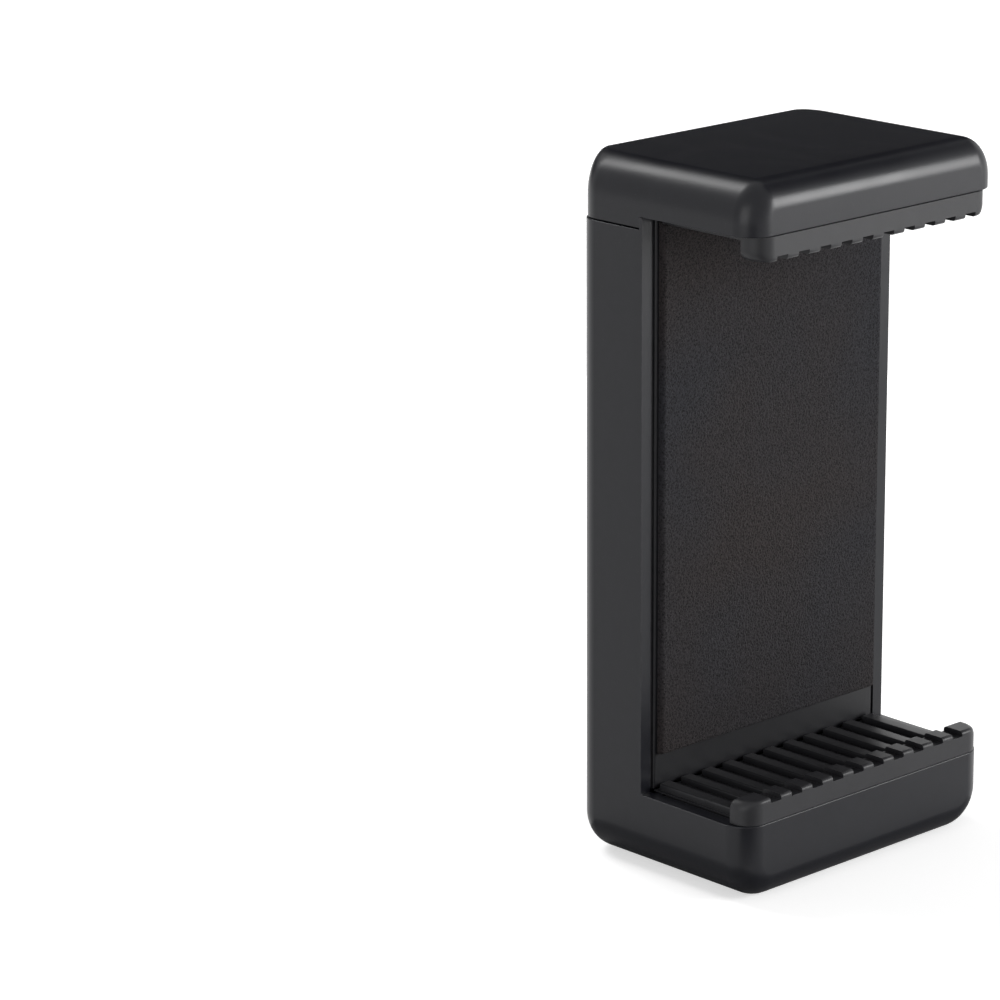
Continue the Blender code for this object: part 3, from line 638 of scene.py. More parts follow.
def softenHousing(obj, s):
    front, back, mouth = form["bodyFront"], form["back"], s["insertHoleR"] + pick
    soften(obj, s["rimEdge"], lambda p: near(p.z, s["jawTop"]) and p.y < front + pick
           and outsideOf(p, s["tray"], s["trayFront"]))
    soften(obj, s["stripEdge"], lambda p: near(p.y, front) and p.z > s["jawTop"] - pick
           and abs(p.x) < s["cavity"] + pick, steps=4)
    soften(obj, s["seamEdge"], lambda p: near(p.z, s["top"]) and p.y < back + pick
           and abs(p.x) > s["tongueHalf"] - pick)
    soften(obj, s["seamEdge"], lambda p: near(p.z, s["stripTop"]), steps=2)
    soften(obj, s["tongueEdge"], lambda p: near(p.y, back) and p.z > s["top"] + pick and
           (abs(p.x) > s["tongueHalf"] - s["tongueR"] or near(p.z, s["tongueTop"])))
    soften(obj, s["mouthEdge"], lambda p: near(p.y, back)
           and math.hypot(p.x, p.z - s["backInsertZ"]) < mouth)
    soften(obj, s["mouthEdge"], lambda p: near(p.z, 0)
           and math.hypot(p.x, p.y - s["bottomInsertY"]) < mouth)


def makeHousing(s):
    obj = outerForm("housingShell", 0)
    shape(obj, housingWalls(s) + housingRibs(s) + housingHoles(s))
    softenHousing(obj, s)
    return finish(obj, satinPlastic, "base", "black_plastic", "housing")


makeHousing(housing)


# moving jaw
jaw = {
    "inset": 0.2, "rim": 78.9, "skirt": 77.55, "roof": 82.4, "stripGap": 0.12, "play": 0.15,
    "legIn": 7.2, "legOut": 19.15, "legBack": 11.9, "legPlateFront": 10.1, "legFront": 4.9, "flange": 1.6,
    "legBottom": 18.0, "legRoot": 2.0, "channelTop": 78.6, "lug": 2.0, "lugGap": 2.4,
    "upperPinZ": 40.0, "pinHoleHalf": 8.0, "tongueGap": 0.14, "tongueRoot": 7.0,
    "edge": 0.22, "edgeBand": 1.6, "rimEdge": 0.15, "tongueEdge": 0.15, "legEdge": 0.3,
}
jaw["stripBack"] = form["bodyFront"] + housing["stripDepth"] + jaw["stripGap"]
jaw["tray"] = form["halfWidth"] - jaw["inset"] - housing["jawWall"]


def jawHead(s, h):
    f, gap, stripBack, tray = form, s["tongueGap"], s["stripBack"], s["tray"]
    inside = h["cavity"] - s["play"]
    tongueLow = (-h["tongueHalf"] - gap, f["back"] - h["tongueThick"] - gap, h["top"] - s["tongueRoot"])
    cuts = [
        boxShape((-far, stripBack - past, -far), (far, far, s["skirt"])),
        boxShape((-far, -far, -2 * far), (far, stripBack, s["rim"])),
        frontSlab(tongueLow, (h["tongueHalf"] + gap, far, sky), h["tongueR"] + gap, steps=12),
        boxShape((-inside, stripBack - past, s["skirt"] - past), (inside, h["cavityBack"], s["rim"])),
        boxShape((-tray, h["trayFront"], s["rim"] - past), (tray, h["crossFront"], s["roof"])),
    ]
    steps = [("DIFFERENCE", cut) for cut in cuts]
    # three ribs under the roof
    half, foot, top = h["ribWide"] / 2, s["rim"] + h["ribDown"], (s["roof"] + f["height"]) / 2
    for x in (-tray / 2, 0, tray / 2):
        rib = boxShape((x - half, h["frontMiddle"], foot), (x + half, h["crossMiddle"], top))
        steps.append(("UNION", rib))
    return steps


def jawLeg(side, s, h):
    # a channel open to the front, slotted at its foot for the spring, with a hole for the pin
    inFront, lugTop = s["legFront"] - past, s["legBottom"] + s["lug"]
    leg = sideBox(side, (s["legIn"], s["legFront"], s["legBottom"]),
                  (s["legOut"], s["legBack"], s["rim"] + s["legRoot"]))
    channel = sideBox(side, (s["legIn"] + s["flange"], inFront, lugTop),
                      (s["legOut"] - s["flange"], s["legPlateFront"], s["channelTop"]))
    slot = sideBox(side, (h["springX"] - s["lugGap"], inFront, s["legBottom"] - past),
                   (h["springX"] + s["lugGap"], s["legPlateFront"], lugTop + past))
    hole = barShape((side * h["springX"], h["springY"], s["upperPinZ"]), (1, 0, 0),
                    h["pinHoleR"], -s["pinHoleHalf"], s["pinHoleHalf"], sides=24)
    return [("UNION", leg), ("DIFFERENCE", channel), ("DIFFERENCE", slot), ("DIFFERENCE", hole)]


def softenJaw(obj, s, h):
    back, roof, side = form["back"], form["height"] - pick, form["halfWidth"] - s["inset"]
    soften(obj, s["rimEdge"], lambda p: near(p.z, s["rim"]) and p.y < s["stripBack"] + pick
           and outsideOf(p, s["tray"], h["trayFront"]))
    soften(obj, h["seamEdge"], lambda p: near(p.z, s["skirt"]) and p.y > s["stripBack"] - pick
           and abs(p.x) > side - form["topCornerR"]
           and (abs(p.x) > h["cavity"] + beyond or p.y > h["cavityBack"] + beyond))
    soften(obj, s["edge"], lambda p: p.z > roof and p.y > back - s["edgeBand"])
    soften(obj, s["tongueEdge"], lambda p: near(p.y, back) and p.z < roof)
    soften(obj, s["legEdge"], lambda p: p.z < s["rim"] - past and abs(p.x) > s["legIn"] - pick
           and (near(p.y, s["legFront"]) or near(p.y, s["legBack"])), steps=2)


def makeJaw(s, h):
    obj = outerForm("movingJaw", s["inset"])
    shape(obj, jawHead(s, h) + jawLeg(-1, s, h) + jawLeg(1, s, h))
    softenJaw(obj, s, h)
    return finish(obj, satinPlastic, "jaw", "black_plastic", "upper_jaw")


makeJaw(jaw, housing)


# front cover, whose rim frames the foam
cover = {
    "half": 18.95, "flangeHalf": 19.42, "flangeFront": 3.2, "front": 2.82, "back": 4.6,
    "foot": 9.9, "head": 78.75, "edge": 0.26,
    "holeR": 1.1, "counterboreR": 2.2, "counterboreDepth": 1.05,
    "stopFoot": 54.3, "stopHead": 58.3, "stopBack": 6.6, "stopOff": 3.1, "stopHalf": 0.7, "stopRoot": 0.8,
}


def makeCover(s, h):
    bm = boxShape((-s["half"], s["front"], s["foot"]), (s["half"], s["back"], s["head"]))
    frontEdges = [e for e in bm.edges if all(near(v.co.y, s["front"]) for v in e.verts)]
    roundOff(bm, frontEdges, s["edge"], steps=4)
    obj = meshObject("frontCover", bm)
    steps = [("UNION", boxShape((-s["flangeHalf"], s["flangeFront"], s["foot"]),
                                (s["flangeHalf"], s["back"], s["head"])))]
    for side in (-1, 1):
        # stops behind the cover, and counterbored holes for its screws
        for way in (-1, 1):
            x = side * h["springX"] + way * s["stopOff"]
            steps.append(("UNION", boxShape((x - s["stopHalf"], s["back"] - s["stopRoot"], s["stopFoot"]),
                                            (x + s["stopHalf"], s["stopBack"], s["stopHead"]))))
        for z in h["screwZ"]:
            spot = (side * h["screwX"], s["front"], z)
            hole = barShape(spot, (0, 1, 0), s["holeR"], -past, 2 * past)
            wider = barShape(spot, (0, 1, 0), s["counterboreR"], -past, s["counterboreDepth"], sides=40)
            steps += [("DIFFERENCE", hole), ("DIFFERENCE", wider)]
    shape(obj, steps)
    return finish(obj, coverPlastic, "base", "cover_plastic", "front_cover")


makeCover(cover, housing)


# foam pad: die cut, with a gently uneven face and its cut edges pulled in
foamPad = {
    "half": 18.5, "foot": 14.1, "head": 78.1, "back": 2.81, "front": 1.9, "thinnest": 0.1,
    "step": 0.26, "edgeR": 0.35, "cell": 0.022, "cellSize": 1.9, "cellFractal": (0.8, 2.1, 3),
    "wave": 0.05, "waveSize": 0.09, "waveFade": 0.8,
    "cut": 0.06, "cutSize": 0.4, "cutShift": (0, 7, 0), "waist": 0.04,
}


def foamFace(bm, s):
    # the front face as a grid of points, row by row from the foot
    wide, tall = 2 * s["half"], s["head"] - s["foot"]
    nx, nz = round(wide / s["step"]), round(tall / s["step"])
    rows = []
    for j in range(nz + 1):
        row = []
        for i in range(nx + 1):
            x, z = -s["half"] + wide * i / nx, s["foot"] + tall * j / nz
            inX, inZ = s["half"] - abs(x), min(z - s["foot"], s["head"] - z)
            y = s["front"]
            for inside in (inX, inZ):
                if inside < s["edgeR"]:
                    y += s["edgeR"] - math.sqrt(s["edgeR"] ** 2 - (s["edgeR"] - inside) ** 2)
            spot = Vector((x, 0, z))
            fade = min(1.0, min(inX, inZ) / s["waveFade"])
            y += fade * s["wave"] * (0.5 + 0.5 * noise.noise(spot * s["waveSize"]))
            y += s["cell"] * (0.5 + 0.5 * noise.fractal(spot * s["cellSize"], *s["cellFractal"]))
            drift = s["cut"] * noise.noise(spot * s["cutSize"] + Vector(s["cutShift"]))
            pulled = s["cut"] / 2 + abs(drift)
            if i in (0, nx):
                x -= math.copysign(pulled, x)
            if j in (0, nz):
                z += pulled if j == 0 else -pulled
            row.append(bm.verts.new((x, min(y, s["back"] - s["thinnest"]), z)))
        rows.append(row)
    return rows


def makeFoamPad(s):
    bm = bmesh.new()
    rows = foamFace(bm, s)
    for low, high in zip(rows, rows[1:]):
        for i in range(len(low) - 1):
            bm.faces.new((low[i], low[i + 1], high[i + 1], high[i]))
    # the cut sides, waisted between the rim and the back
    rim = rows[0] + [r[-1] for r in rows[1:]] + rows[-1][-2::-1] + [r[0] for r in rows[-2:0:-1]]
    loops = [rim]
    for share in (0.5, 1.0):
        narrow = 1 - s["waist"] * math.sin(math.pi * share) / s["half"]
        loops.append([bm.verts.new((v.co.x * narrow, v.co.y + (s["back"] - v.co.y) * share, v.co.z))
                      for v in rim])
    skin(bm, loops)
    bm.faces.new(loops[-1])
    obj = meshObject("foamPad", bm)
    obj = finish(obj, blackFoam, "base", "foam", "foam_pad", sharp=60)
    return obj


makeFoamPad(foamPad)


# Geometry Nodes trees: each takes a form, some sizes and a finish, and gives a form
def newFormTree(name, sizes):
    kinds = {int: "NodeSocketInt", float: "NodeSocketFloat"}
    inputs = [("Geometry", "NodeSocketGeometry", None)]
    inputs += [(size, kinds[type(value)], value) for size, value in sizes.items()]
    inputs.append(("Finish", "NodeSocketMaterial", None))
    return newGroup(name, "GeometryNodeTree", inputs, (("Geometry", "NodeSocketGeometry"),))


def endTree(tree, geometry, mat):
    real = addNode(tree, "GeometryNodeRealizeInstances", {0: geometry})
    done = addNode(tree, "GeometryNodeSetMaterial", {0: real.outputs[0], "Material": mat})
    feed(tree, Geometry=done.outputs[0])
    return tree


def runTree(obj, tree, mat, sizes):
    mod = obj.modifiers.new(tree.name, "NODES")
    mod.node_group = tree
    values = {"Finish": mat, **sizes}
    for item in tree.interface.items_tree:
        if item.in_out == "INPUT" and item.name in values:
            mod[item.identifier] = values[item.name]
    bake(obj)


def rowTree():
    # sets a form out in a row along x: ribs, teeth, pins
    tree, given = newFormTree("setOutInRow", {"Count": 11, "Pitch": 3.5})
    gaps = mathNode(tree, "SUBTRACT", given["Count"], 1.0)
    start = addNode(tree, "ShaderNodeCombineXYZ", {0: product(tree, gaps, given["Pitch"], -0.5)})
    stride = addNode(tree, "ShaderNodeCombineXYZ", {0: given["Pitch"]})
    line = addNode(tree, "GeometryNodeMeshLine", {
        "Count": given["Count"], "Start Location": start.outputs[0], "Offset": stride.outputs[0]})
    copies = addNode(tree, "GeometryNodeInstanceOnPoints", {
        "Points": line.outputs[0], "Instance": given["Geometry"]})
    return endTree(tree, copies.outputs[0], given["Finish"])


def aboutAxis(tree):
    # a point's distance from the z axis, the way outward, its turn round the axis and its height
    spot = addNode(tree, "GeometryNodeInputPosition").outputs[0]
    x, y, height = addNode(tree, "ShaderNodeSeparateXYZ", {0: spot}).outputs
    flat = addNode(tree, "ShaderNodeCombineXYZ", {0: x, 1: y}).outputs[0]
    radius = addNode(tree, "ShaderNodeVectorMath", {0: flat}, operation="LENGTH").outputs["Value"]
    outward = addNode(tree, "ShaderNodeVectorMath", {0: flat}, operation="NORMALIZE").outputs[0]
    return radius, outward, mathNode(tree, "ARCTAN2", y, x), height


def helixCrest(tree, angle, height, pitch):
    # 0 at the root of a thread and 1 on its crest
    turn = mathNode(tree, "DIVIDE", angle, 2 * math.pi)
    climb = mathNode(tree, "SUBTRACT", mathNode(tree, "DIVIDE", height, pitch), turn)
    return ramp(tree, mathNode(tree, "PINGPONG", climb, 0.5), 0.08, 0.42)


def pushOut(tree, geometry, outward, push):
    offset = addNode(tree, "ShaderNodeVectorMath", {0: outward, "Scale": push}, operation="SCALE")
    return addNode(tree, "GeometryNodeSetPosition", {
        "Geometry": geometry, "Offset": offset.outputs[0]}).outputs[0]


setOutInRow = rowTree()


# rubber grips: a plug, a ribbed floor, and a notched bar along the front
grip = {
    "ribs": 11, "pitch": 3.52, "ribWide": 1.76, "ribTop": 0.95, "ribHigh": 0.78, "ribRoot": 0.2,
    "ribIn": 0.6, "ribShort": 0.4, "lift": 0.03, "backGap": 0.15,
    "plug": 1.3, "plugGap": 0.3, "plugPlay": 0.15, "plateIn": 0.7, "plateLift": 0.031,
    "barTop": 3.0, "barLong": 3.0, "lowerBarIn": 0.6, "upperBarIn": 1.5, "notch": 0.62,
    "cornerR": 2.5, "cornerSteps": 14, "endSteps": 14,
    "soft": 0.2, "barSoft": 0.42, "endSoft": 1.3, "footSoft": 0.05, "toothSoft": 0.16,
}


def gripBar(half, s):
    # level rings from foot to top, drawn in more at the ends than at the front
    front, back = form["front"], form["front"] + s["barLong"]
    levels = [(s["lift"], s["footSoft"], s["footSoft"]), (s["lift"] + s["footSoft"], 0, 0)]
    for k in range(s["endSteps"] + 1):
        a = math.pi / 2 * k / s["endSteps"]
        below = s["endSoft"] * (1 - math.sin(a))
        rise = max(0, s["barSoft"] - below)
        levels.append((s["barTop"] - below, s["endSoft"] * (1 - math.cos(a)),
                       s["barSoft"] - math.sqrt(s["barSoft"] ** 2 - rise ** 2)))
    bm = bmesh.new()
    rings = []
    for z, endIn, frontIn in levels:
        ring = [(half - endIn, back - frontIn), (endIn - half, back - frontIn)]
        for right, start in ((-1, 180), (1, 270)):
            for k in range(s["cornerSteps"] + 1):
                a = math.radians(start + 90 * k / s["cornerSteps"])
                ring.append((right * (half - s["cornerR"]) + (s["cornerR"] - endIn) * math.cos(a),
                             front + s["cornerR"] + (s["cornerR"] - frontIn) * math.sin(a)))
        rings.append([bm.verts.new((x, y, z)) for x, y in ring])
    closedSkin(bm, rings)
    return bm


def makeGrip(name, nodeName, rim, way, barHalf, plugHalf, body, s, h):
    f, half = form, s["ribWide"] / 2
    back, floor = f["bodyFront"] - s["backGap"], s["ribTop"] - s["ribHigh"]
    barBack, notchFoot = f["front"] + s["barLong"], s["barTop"] - s["notch"]
    obj = meshObject(name, gripBar(barHalf, s))
    # notches between the teeth, and the ribs behind
    notches = meshObject("notches", boxShape((-half, f["front"] - past, notchFoot),
                                             (half, barBack + past, s["barTop"] + past)))
    runTree(notches, setOutInRow, gripRubber, {"Count": s["ribs"] - 1, "Pitch": s["pitch"]})
    rib = boxShape((-half, barBack - s["ribIn"], floor - s["ribRoot"]),
                   (half, back - s["ribShort"], s["ribTop"]))
    roundOff(rib, list(rib.edges), s["soft"], steps=3)
    ribs = meshObject("ribs", rib)
    runTree(ribs, setOutInRow, gripRubber, {"Count": s["ribs"], "Pitch": s["pitch"]})
    plug = plugHalf - s["plugPlay"]
    shape(obj, [
        ("DIFFERENCE", notches),
        ("UNION", boxShape((-plugHalf, barBack - s["plateIn"], s["plateLift"]), (plugHalf, back, floor))),
        ("UNION", boxShape((-plug, h["trayFront"] + s["plugGap"], s["lift"] - s["plug"]),
                           (plug, h["crossFront"] - s["plugGap"], (s["lift"] + floor) / 2))),
        ("UNION", ribs),
    ])
    soften(obj, s["toothSoft"], lambda p: p.z > notchFoot - pick and p.y < barBack + pick)
    obj.data.transform(Matrix.Translation((0, 0, rim)) @ Matrix.Diagonal((1, 1, way, 1)))
    if way < 0:
        obj.data.flip_normals()
    return finish(obj, gripRubber, body, "rubber", nodeName)


makeGrip("lowerGrip", "lower_grip", housing["jawTop"], 1, form["halfWidth"] - grip["lowerBarIn"],
         housing["tray"] - grip["plugGap"], "base", grip, housing)
makeGrip("upperGrip", "upper_grip", jaw["rim"], -1, form["halfWidth"] - grip["upperBarIn"],
         jaw["tray"] - grip["plugGap"], "jaw", grip, housing)


# turned metal, from a profile of (radius, height)
def turnedLoops(bm, profile, around):
    turns = [2 * math.pi * k / around for k in range(around)]
    return [[bm.verts.new((r * math.cos(a), r * math.sin(a), z)) for r, z in profile] for a in turns]


def turnedRing(name, profile, around):
    # a closed profile, with a UV map of turn and travel
    bm = bmesh.new()
    uv = bm.loops.layers.uv.new("UVMap")
    loops = turnedLoops(bm, profile, around)
    travel = [0.0]
    for a, b in zip(profile, profile[1:] + profile[:1]):
        travel.append(travel[-1] + math.dist(a, b))
    for k in range(around):
        a, b = loops[k], loops[(k + 1) % around]
        for j in range(len(profile)):
            i = (j + 1) % len(profile)
            face = bm.faces.new((a[j], b[j], b[i], a[i]))
            for loop, u, v in zip(face.loops, (k, k + 1, k + 1, k), (j, j, j + 1, j + 1)):
                loop[uv].uv = (u / around, travel[v])
    return meshObject(name, bm)


def turnedSolid(name, profile, around):
    # an open profile, closed at both ends
    bm = bmesh.new()
    loops = turnedLoops(bm, profile, around)
    for k in range(around):
        a, b = loops[k - 1], loops[k]
        for j in range(len(profile) - 1):
            bm.faces.new((a[j], b[j], b[j + 1], a[j + 1]))
    bm.faces.new([loop[0] for loop in loops])
    bm.faces.new([loop[-1] for loop in reversed(loops)])
    return meshObject(name, bm)


# brass inserts: a turned ring, knurled outside and threaded inside
insert = {
    "outerR": 4.8, "boreR": 3.175, "long": 6.5, "mouthR": 3.55, "mouthDeep": 0.35, "mouthEdge": 0.1,
    "mouthDrop": 0.04, "chamfer": 0.14, "chamferHigh": 0.16, "bevel": 0.3,
    "grooveFrom": 2.4, "grooveTo": 3.4, "grooveSlope": 0.2, "grooveDeep": 0.55,
    "ridges": 26, "ridgeDeep": 0.3, "threadPitch": 1.27, "threadDeep": 0.5,
    "around": 208, "rowStep": 0.16, "proud": 0.01,
}


def insertSizes(s):
    return {"Ridges": s["ridges"], "Ridge depth": s["ridgeDeep"], "Rim radius": s["outerR"],
            "Bore radius": s["boreR"], "Thread pitch": s["threadPitch"], "Thread depth": s["threadDeep"]}


def insertTree(sizes):
    tree, given = newFormTree("knurlAndThread", sizes)
    radius, outward, angle, height = aboutAxis(tree)
    # round ridges, from 0 on a tip to 1 in a sharp root
    wave = mathNode(tree, "COSINE", product(tree, angle, given["Ridges"]))
    root = mathNode(tree, "POWER", mathNode(tree, "MULTIPLY_ADD", wave, -0.5, 0.5), 1.6)
    rim = mathNode(tree, "GREATER_THAN", radius, mathNode(tree, "SUBTRACT", given["Rim radius"], 0.2))
    knurl = product(tree, root, given["Ridge depth"], rim)
    # a rounded helix that fades out at the mouth
    crest = helixCrest(tree, angle, height, given["Thread pitch"])
    inBore = mathNode(tree, "LESS_THAN", radius, mathNode(tree, "ADD", given["Bore radius"], 0.01))
    thread = product(tree, crest, given["Thread depth"], ramp(tree, height, 0.3, 1.0), inBore)
    inwards = product(tree, mathNode(tree, "ADD", knurl, thread), -1.0)
    return endTree(tree, pushOut(tree, given["Geometry"], outward, inwards), given["Finish"])


def insertProfile(s):
    end, outer = s["long"], s["outerR"]
    groove, slope = outer - s["grooveDeep"], s["grooveSlope"]
    rows = round((end - s["mouthDeep"]) / s["rowStep"])
    bore = [(s["boreR"], s["mouthDeep"] + (end - s["mouthDeep"]) * k / rows) for k in range(rows + 1)]
    return bore + [
        (outer - s["bevel"], end), (outer, end - s["bevel"]),
        (outer, end - s["grooveFrom"]), (groove, end - s["grooveFrom"] - slope),
        (groove, end - s["grooveTo"] + slope), (outer, end - s["grooveTo"]),
        (outer, s["chamferHigh"]), (outer - s["chamfer"], 0),
        (s["mouthR"] + s["mouthEdge"], 0), (s["mouthR"], s["mouthDrop"])]


def makeInsert(name, nodeName, turn, mouth, s, tree):
    obj = turnedRing(name, insertProfile(s), s["around"])
    runTree(obj, tree, turnedBrass, insertSizes(s))
    obj.data.transform(Matrix.Translation(mouth) @ turn)
    return finish(obj, turnedBrass, "base", "brass", nodeName, sharp=40)


knurlAndThread = insertTree(insertSizes(insert))
makeInsert("backInsert", "back_insert", Matrix.Rotation(math.radians(90), 4, "X"),
           (0, form["back"] - insert["proud"], housing["backInsertZ"]), insert, knurlAndThread)
makeInsert("bottomInsert", "bottom_insert", Matrix.Identity(4),
           (0, housing["bottomInsertY"], insert["proud"]), insert, knurlAndThread)


# springs: one wire path each, swept into a round wire
spring = {
    "wire": 0.6, "sides": 10, "coilR": 1.8, "turns": 22, "perTurn": 14, "lead": 1.5,
    "hookR": 1.35, "hookFrom": -130, "hookSweep": 310, "hookSteps": 16,
    "foot": 15.0, "head": 40.0, "held": 2.0,
}


def wireSizes(s):
    return {"Thickness": s["wire"], "Sides": s["sides"]}


def wireTree(sizes):
    tree, given = newFormTree("sweepWire", sizes)
    path = addNode(tree, "GeometryNodeMeshToCurve", {0: given["Geometry"]})
    ring = addNode(tree, "GeometryNodeCurvePrimitiveCircle", {
        "Resolution": given["Sides"], "Radius": product(tree, given["Thickness"], 0.5)})
    tube = addNode(tree, "GeometryNodeCurveToMesh", {
        "Curve": path.outputs[0], "Profile Curve": ring.outputs[0], "Fill Caps": True})
    return endTree(tree, tube.outputs[0], given["Finish"])


def springPath(s):
    # the lower hook, the coil, and the upper hook, which mirrors the lower one
    low, high = s["foot"] + s["hookR"] + s["lead"], s["head"] - s["hookR"] - s["lead"]
    hook = []
    for k in range(s["hookSteps"] + 1):
        a = math.radians(s["hookFrom"] + s["hookSweep"] * k / s["hookSteps"])
        hook.append((s["hookR"] * math.sin(a), s["hookR"] * math.cos(a)))
    steps = s["turns"] * s["perTurn"]
    coil = []
    for k in range(steps + 1):
        a = 2 * math.pi * k / s["perTurn"]
        coil.append((s["coilR"] * math.sin(a), s["coilR"] * math.cos(a), low + (high - low) * k / steps))
    lower = [(0, y, s["foot"] - z) for y, z in hook]
    upper = [(0, y, s["head"] + z) for y, z in reversed(hook)]
    return lower + coil + upper


def makeSpring(name, nodeName, x, s, h, tree):
    bm = bmesh.new()
    verts = [bm.verts.new(p) for p in springPath(s)]
    for a, b in zip(verts, verts[1:]):
        bm.edges.new((a, b))
    obj = meshObject(name, bm)
    runTree(obj, tree, zincSteel, wireSizes(s))
    obj.data.transform(Matrix.Translation((x, h["springY"], 0)))
    finish(obj, zincSteel, None, "steel", nodeName, sharp=60)
    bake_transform(obj)


sweepWire = wireTree(wireSizes(spring))
makeSpring("springLeft", "spring_left", -housing["springX"], spring, housing, sweepWire)
makeSpring("springRight", "spring_right", housing["springX"], spring, housing, sweepWire)


# cover screws: cross-headed, one turned form with its thread rolled on and set out four times
screw = {
    "headR": 1.86, "headHigh": 0.84, "headEdge": 0.06, "domeFlat": 0.5, "domeRim": 0.35, "domeSteps": 6,
    "shankR": 0.76, "tipR": 0.3, "tipLong": 0.9, "long": 4.9,
    "threadDeep": 0.17, "threadPitch": 0.8, "runIn": 0.4, "around": 36, "rowStep": 0.1,
    "recessHalf": 1.0, "recessWide": 0.3, "recessDeep": 0.5, "seatY": 3.97,
}


def screwSizes(s, h):
    low, high = h["screwZ"]
    return {"Shank radius": s["shankR"], "Thread pitch": s["threadPitch"], "Thread depth": s["threadDeep"],
            "Run in": s["runIn"], "Apart": 2 * h["screwX"], "Rise": high - low}


def screwTree(sizes):
    tree, given = newFormTree("rollAndSetOut", sizes)
    radius, outward, angle, height = aboutAxis(tree)
    crest = helixCrest(tree, angle, height, given["Thread pitch"])
    depth = product(tree, height, -1.0)
    runIn = mathNode(tree, "DIVIDE", depth, given["Run in"], clamp=True)
    slim = mathNode(tree, "LESS_THAN", radius, mathNode(tree, "ADD", given["Shank radius"], 0.02))
    rolled = pushOut(tree, given["Geometry"], outward,
                     product(tree, crest, given["Thread depth"], runIn, slim))
    places = addNode(tree, "GeometryNodeMeshGrid", {
        "Size X": given["Apart"], "Size Y": given["Rise"], "Vertices X": 2, "Vertices Y": 2})
    copies = addNode(tree, "GeometryNodeInstanceOnPoints", {
        "Points": places.outputs["Mesh"], "Instance": rolled})
    return endTree(tree, copies.outputs[0], given["Finish"])


def screwProfile(s):
    flat, rim, edge = s["domeFlat"], s["domeRim"], s["headEdge"]
    dome = []
    for k in range(s["domeSteps"] + 1):
        a = math.radians(90 - 90 * k / s["domeSteps"])
        dome.append((s["headR"] * (flat + (1 - flat) * math.cos(a)),
                     s["headHigh"] * (rim + (1 - rim) * math.sin(a))))
    straight = s["long"] - s["tipLong"]
    rows = round(straight / s["rowStep"])
    shank = [(s["shankR"], -straight * k / rows) for k in range(rows + 1)]
    return dome + [(s["headR"], edge), (s["headR"] - edge, 0)] + shank + [(s["tipR"], -s["long"])]


def makeScrews(s, h, tree):
    obj = turnedSolid("coverScrews", screwProfile(s), s["around"])
    long, wide, deep = s["recessHalf"], s["recessWide"] / 2, s["headHigh"] - s["recessDeep"]
    cross = [boxShape((-x, -y, deep), (x, y, past)) for x, y in ((long, wide), (wide, long))]
    shape(obj, [("DIFFERENCE", arm) for arm in cross])
    runTree(obj, tree, zincSteel, screwSizes(s, h))
    turn = Matrix.Rotation(math.radians(90), 4, "X")
    obj.data.transform(Matrix.Translation((0, s["seatY"], sum(h["screwZ"]) / 2)) @ turn)
    return finish(obj, zincSteel, "base", "steel",
                  "cover_screw_1", "cover_screw_2", "cover_screw_3", "cover_screw_4")


makeScrews(screw, housing, screwTree(screwSizes(screw, housing)))


# spring pins: turned, with a waist where the hook lies
pin = {
    "radius": 0.75, "chamfer": 0.18, "waistR": 0.68, "waistHalf": 0.7, "waistSlope": 0.1, "around": 40,
    "lowerHalf": 3.55, "upperHalf": 5.82,
}


def makePins(name, half, z, body, s, h, *nodeNames):
    side = [(s["radius"] - s["chamfer"], half), (s["radius"], half - s["chamfer"]),
            (s["radius"], s["waistHalf"] + s["waistSlope"]), (s["waistR"], s["waistHalf"])]
    profile = side + [(r, -along) for r, along in reversed(side)]
    obj = turnedSolid(name, profile, s["around"])
    obj.data.transform(Matrix.Rotation(math.radians(90), 4, "Y"))
    runTree(obj, setOutInRow, zincSteel, {"Count": 2, "Pitch": 2 * h["springX"]})
    obj.data.transform(Matrix.Translation((0, h["springY"], z)))
    return finish(obj, zincSteel, body, "steel", *nodeNames)


makePins("lowerPins", pin["lowerHalf"], housing["lowerPinZ"], "base", pin, housing,
         "lower_pin_left", "lower_pin_right")
makePins("upperPins", pin["upperHalf"], jaw["upperPinZ"], "jaw", pin, housing,
         "upper_pin_left", "upper_pin_right")
print("pieces made")


# floor, backdrop and light, in metres
studio = {
    "floorSize": 3.0, "floorColour": 0.82, "floorRough": 0.9, "floorGloss": 0.1,
    "floorLift": 0.55, "lampReach": (0.35, 0.65), "worldFill": 0.31, "lampAim": (0, 0, 0.045),
}


def seenDirectly(tree):
    # 1 for the camera's rays, also where they were mirrored or let through
    rays = addNode(tree, "ShaderNodeLightPath").outputs
    seen = mathNode(tree, "MAXIMUM", rays["Is Camera Ray"], rays["Is Glossy Ray"])
    return mathNode(tree, "MAXIMUM", seen, rays["Is Transmission Ray"])


def addFloor(s):
    bm = bmesh.new()
    bmesh.ops.create_grid(bm, x_segments=1, y_segments=1, size=s["floorSize"] / 2)
    floor = meshObject("floor", bm)
    mat, tree, shader = newMaterial("floorPaper")
    shader.inputs["Base Color"].default_value = (s["floorColour"],) * 3 + (1,)
    shader.inputs["Roughness"].default_value = s["floorRough"]
    shader.inputs["Specular IOR Level"].default_value = s["floorGloss"]
    shader.inputs["Emission Color"].default_value = (1, 1, 1, 1)
    # far from the clamp the lamps fade, so the paper's own white takes over
    away = addNode(tree, "ShaderNodeVectorMath", {0: place(tree)}, operation="LENGTH").outputs["Value"]
    lift = ramp(tree, away, *s["lampReach"], s["floorLift"], 1.0)
    tree.links.new(product(tree, seenDirectly(tree), lift), shader.inputs["Emission Strength"])
    floor.data.materials.append(mat)


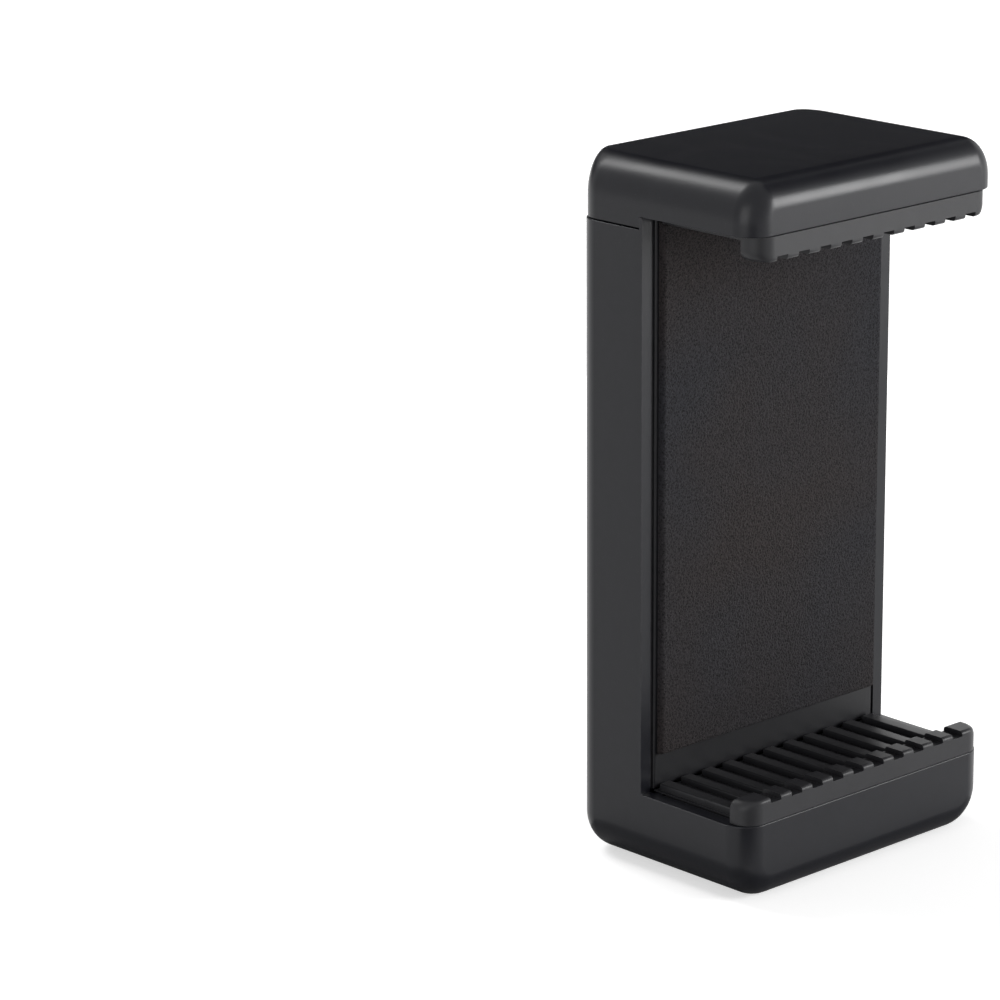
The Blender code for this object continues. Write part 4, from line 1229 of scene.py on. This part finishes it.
def setWorld(s):
    world = bpy.data.worlds.new("studioAir")
    bpy.context.scene.world = world
    world.use_nodes = True
    tree = world.node_tree
    back = tree.nodes["Background"]
    back.inputs["Color"].default_value = (1, 1, 1, 1)
    tree.links.new(ramp(tree, seenDirectly(tree), 0, 1, s["worldFill"], 1), back.inputs["Strength"])


lamps = {
    "rightBox": {"towards": (0.653, -0.728, 0.205), "distance": 0.7, "size": (0.30, 0.30), "power": 4.2},
    "leftBox": {"towards": (-0.086, 0.705, 0.704), "distance": 0.7, "size": (0.28, 0.28), "power": 2.4},
    "leftFill": {"towards": (-0.95, -0.25, 0.22), "distance": 0.7, "size": (0.40, 0.40), "power": 1.2},
    "lowCard": {"spot": (0.15, 0.17, 0.045), "towards": (-0.653, -0.705, 0), "size": (0.22, 0.08),
                "power": 0.05},
}


def addLamps(lampSet, aim):
    for name, s in lampSet.items():
        data = bpy.data.lights.new(name, "AREA")
        data.shape = "RECTANGLE"
        data.size, data.size_y = s["size"]
        data.energy = s["power"]
        lamp = bpy.data.objects.new(name, data)
        way = Vector(s["towards"]).normalized()
        if "spot" in s:
            # a glowing card that stands by itself
            lamp.location = s["spot"]
            lamp.rotation_euler = (-way).to_track_quat("Z", "Y").to_euler()
        else:
            lamp.location = Vector(aim) + way * s["distance"]
            lamp.rotation_euler = way.to_track_quat("Z", "Y").to_euler()
        lamp.visible_camera = False
        bpy.context.collection.objects.link(lamp)


# cards seen only in the gloss: they keep the roof, its front edge and the front corner dark,
# and stand for the shade under the clamp
glossCards = {
    "roofCard": {"grey": 0.01, "corners": ((0.161, 0.041, 0.092), (-0.065, 0.253, 0.092),
                                           (-0.065, 0.253, 0.30), (0.161, 0.041, 0.30))},
    "edgeCard": {"grey": 0.06, "corners": ((0.170, -0.189, 0.244), (0.254, 0.054, 0.235),
                                           (0.138, 0.029, 0.350), (0.094, -0.105, 0.350))},
    "footCard": {"grey": 0.01, "corners": ((-0.035, -0.020, 0.0006), (-0.010, -0.040, 0.0006),
                                           (-0.175, -0.345, 0.0006), (-0.335, -0.190, 0.0006))},
    "shadeCard": {"grey": 0.45, "corners": ((-0.028, -0.018, 0.0003), (0.026, -0.018, 0.0003),
                                            (0.026, 0.017, 0.0003), (-0.028, 0.017, 0.0003))},
}


def addGlossCards(cards):
    for name, s in cards.items():
        mat, tree, shader = newMaterial(name + "Cloth")
        shader.inputs["Base Color"].default_value = (s["grey"],) * 3 + (1,)
        shader.inputs["Roughness"].default_value = 1.0
        bm = bmesh.new()
        bm.faces.new([bm.verts.new(c) for c in s["corners"]])
        card = meshObject(name, bm)
        card.data.materials.append(mat)
        card.visible_camera = False
        card.visible_diffuse = False
        card.visible_shadow = False


addFloor(studio)
setWorld(studio)
addLamps(lamps, studio["lampAim"])
addGlossCards(glossCards)
bpy.context.scene.view_settings.view_transform = "Standard"
print("studio built")
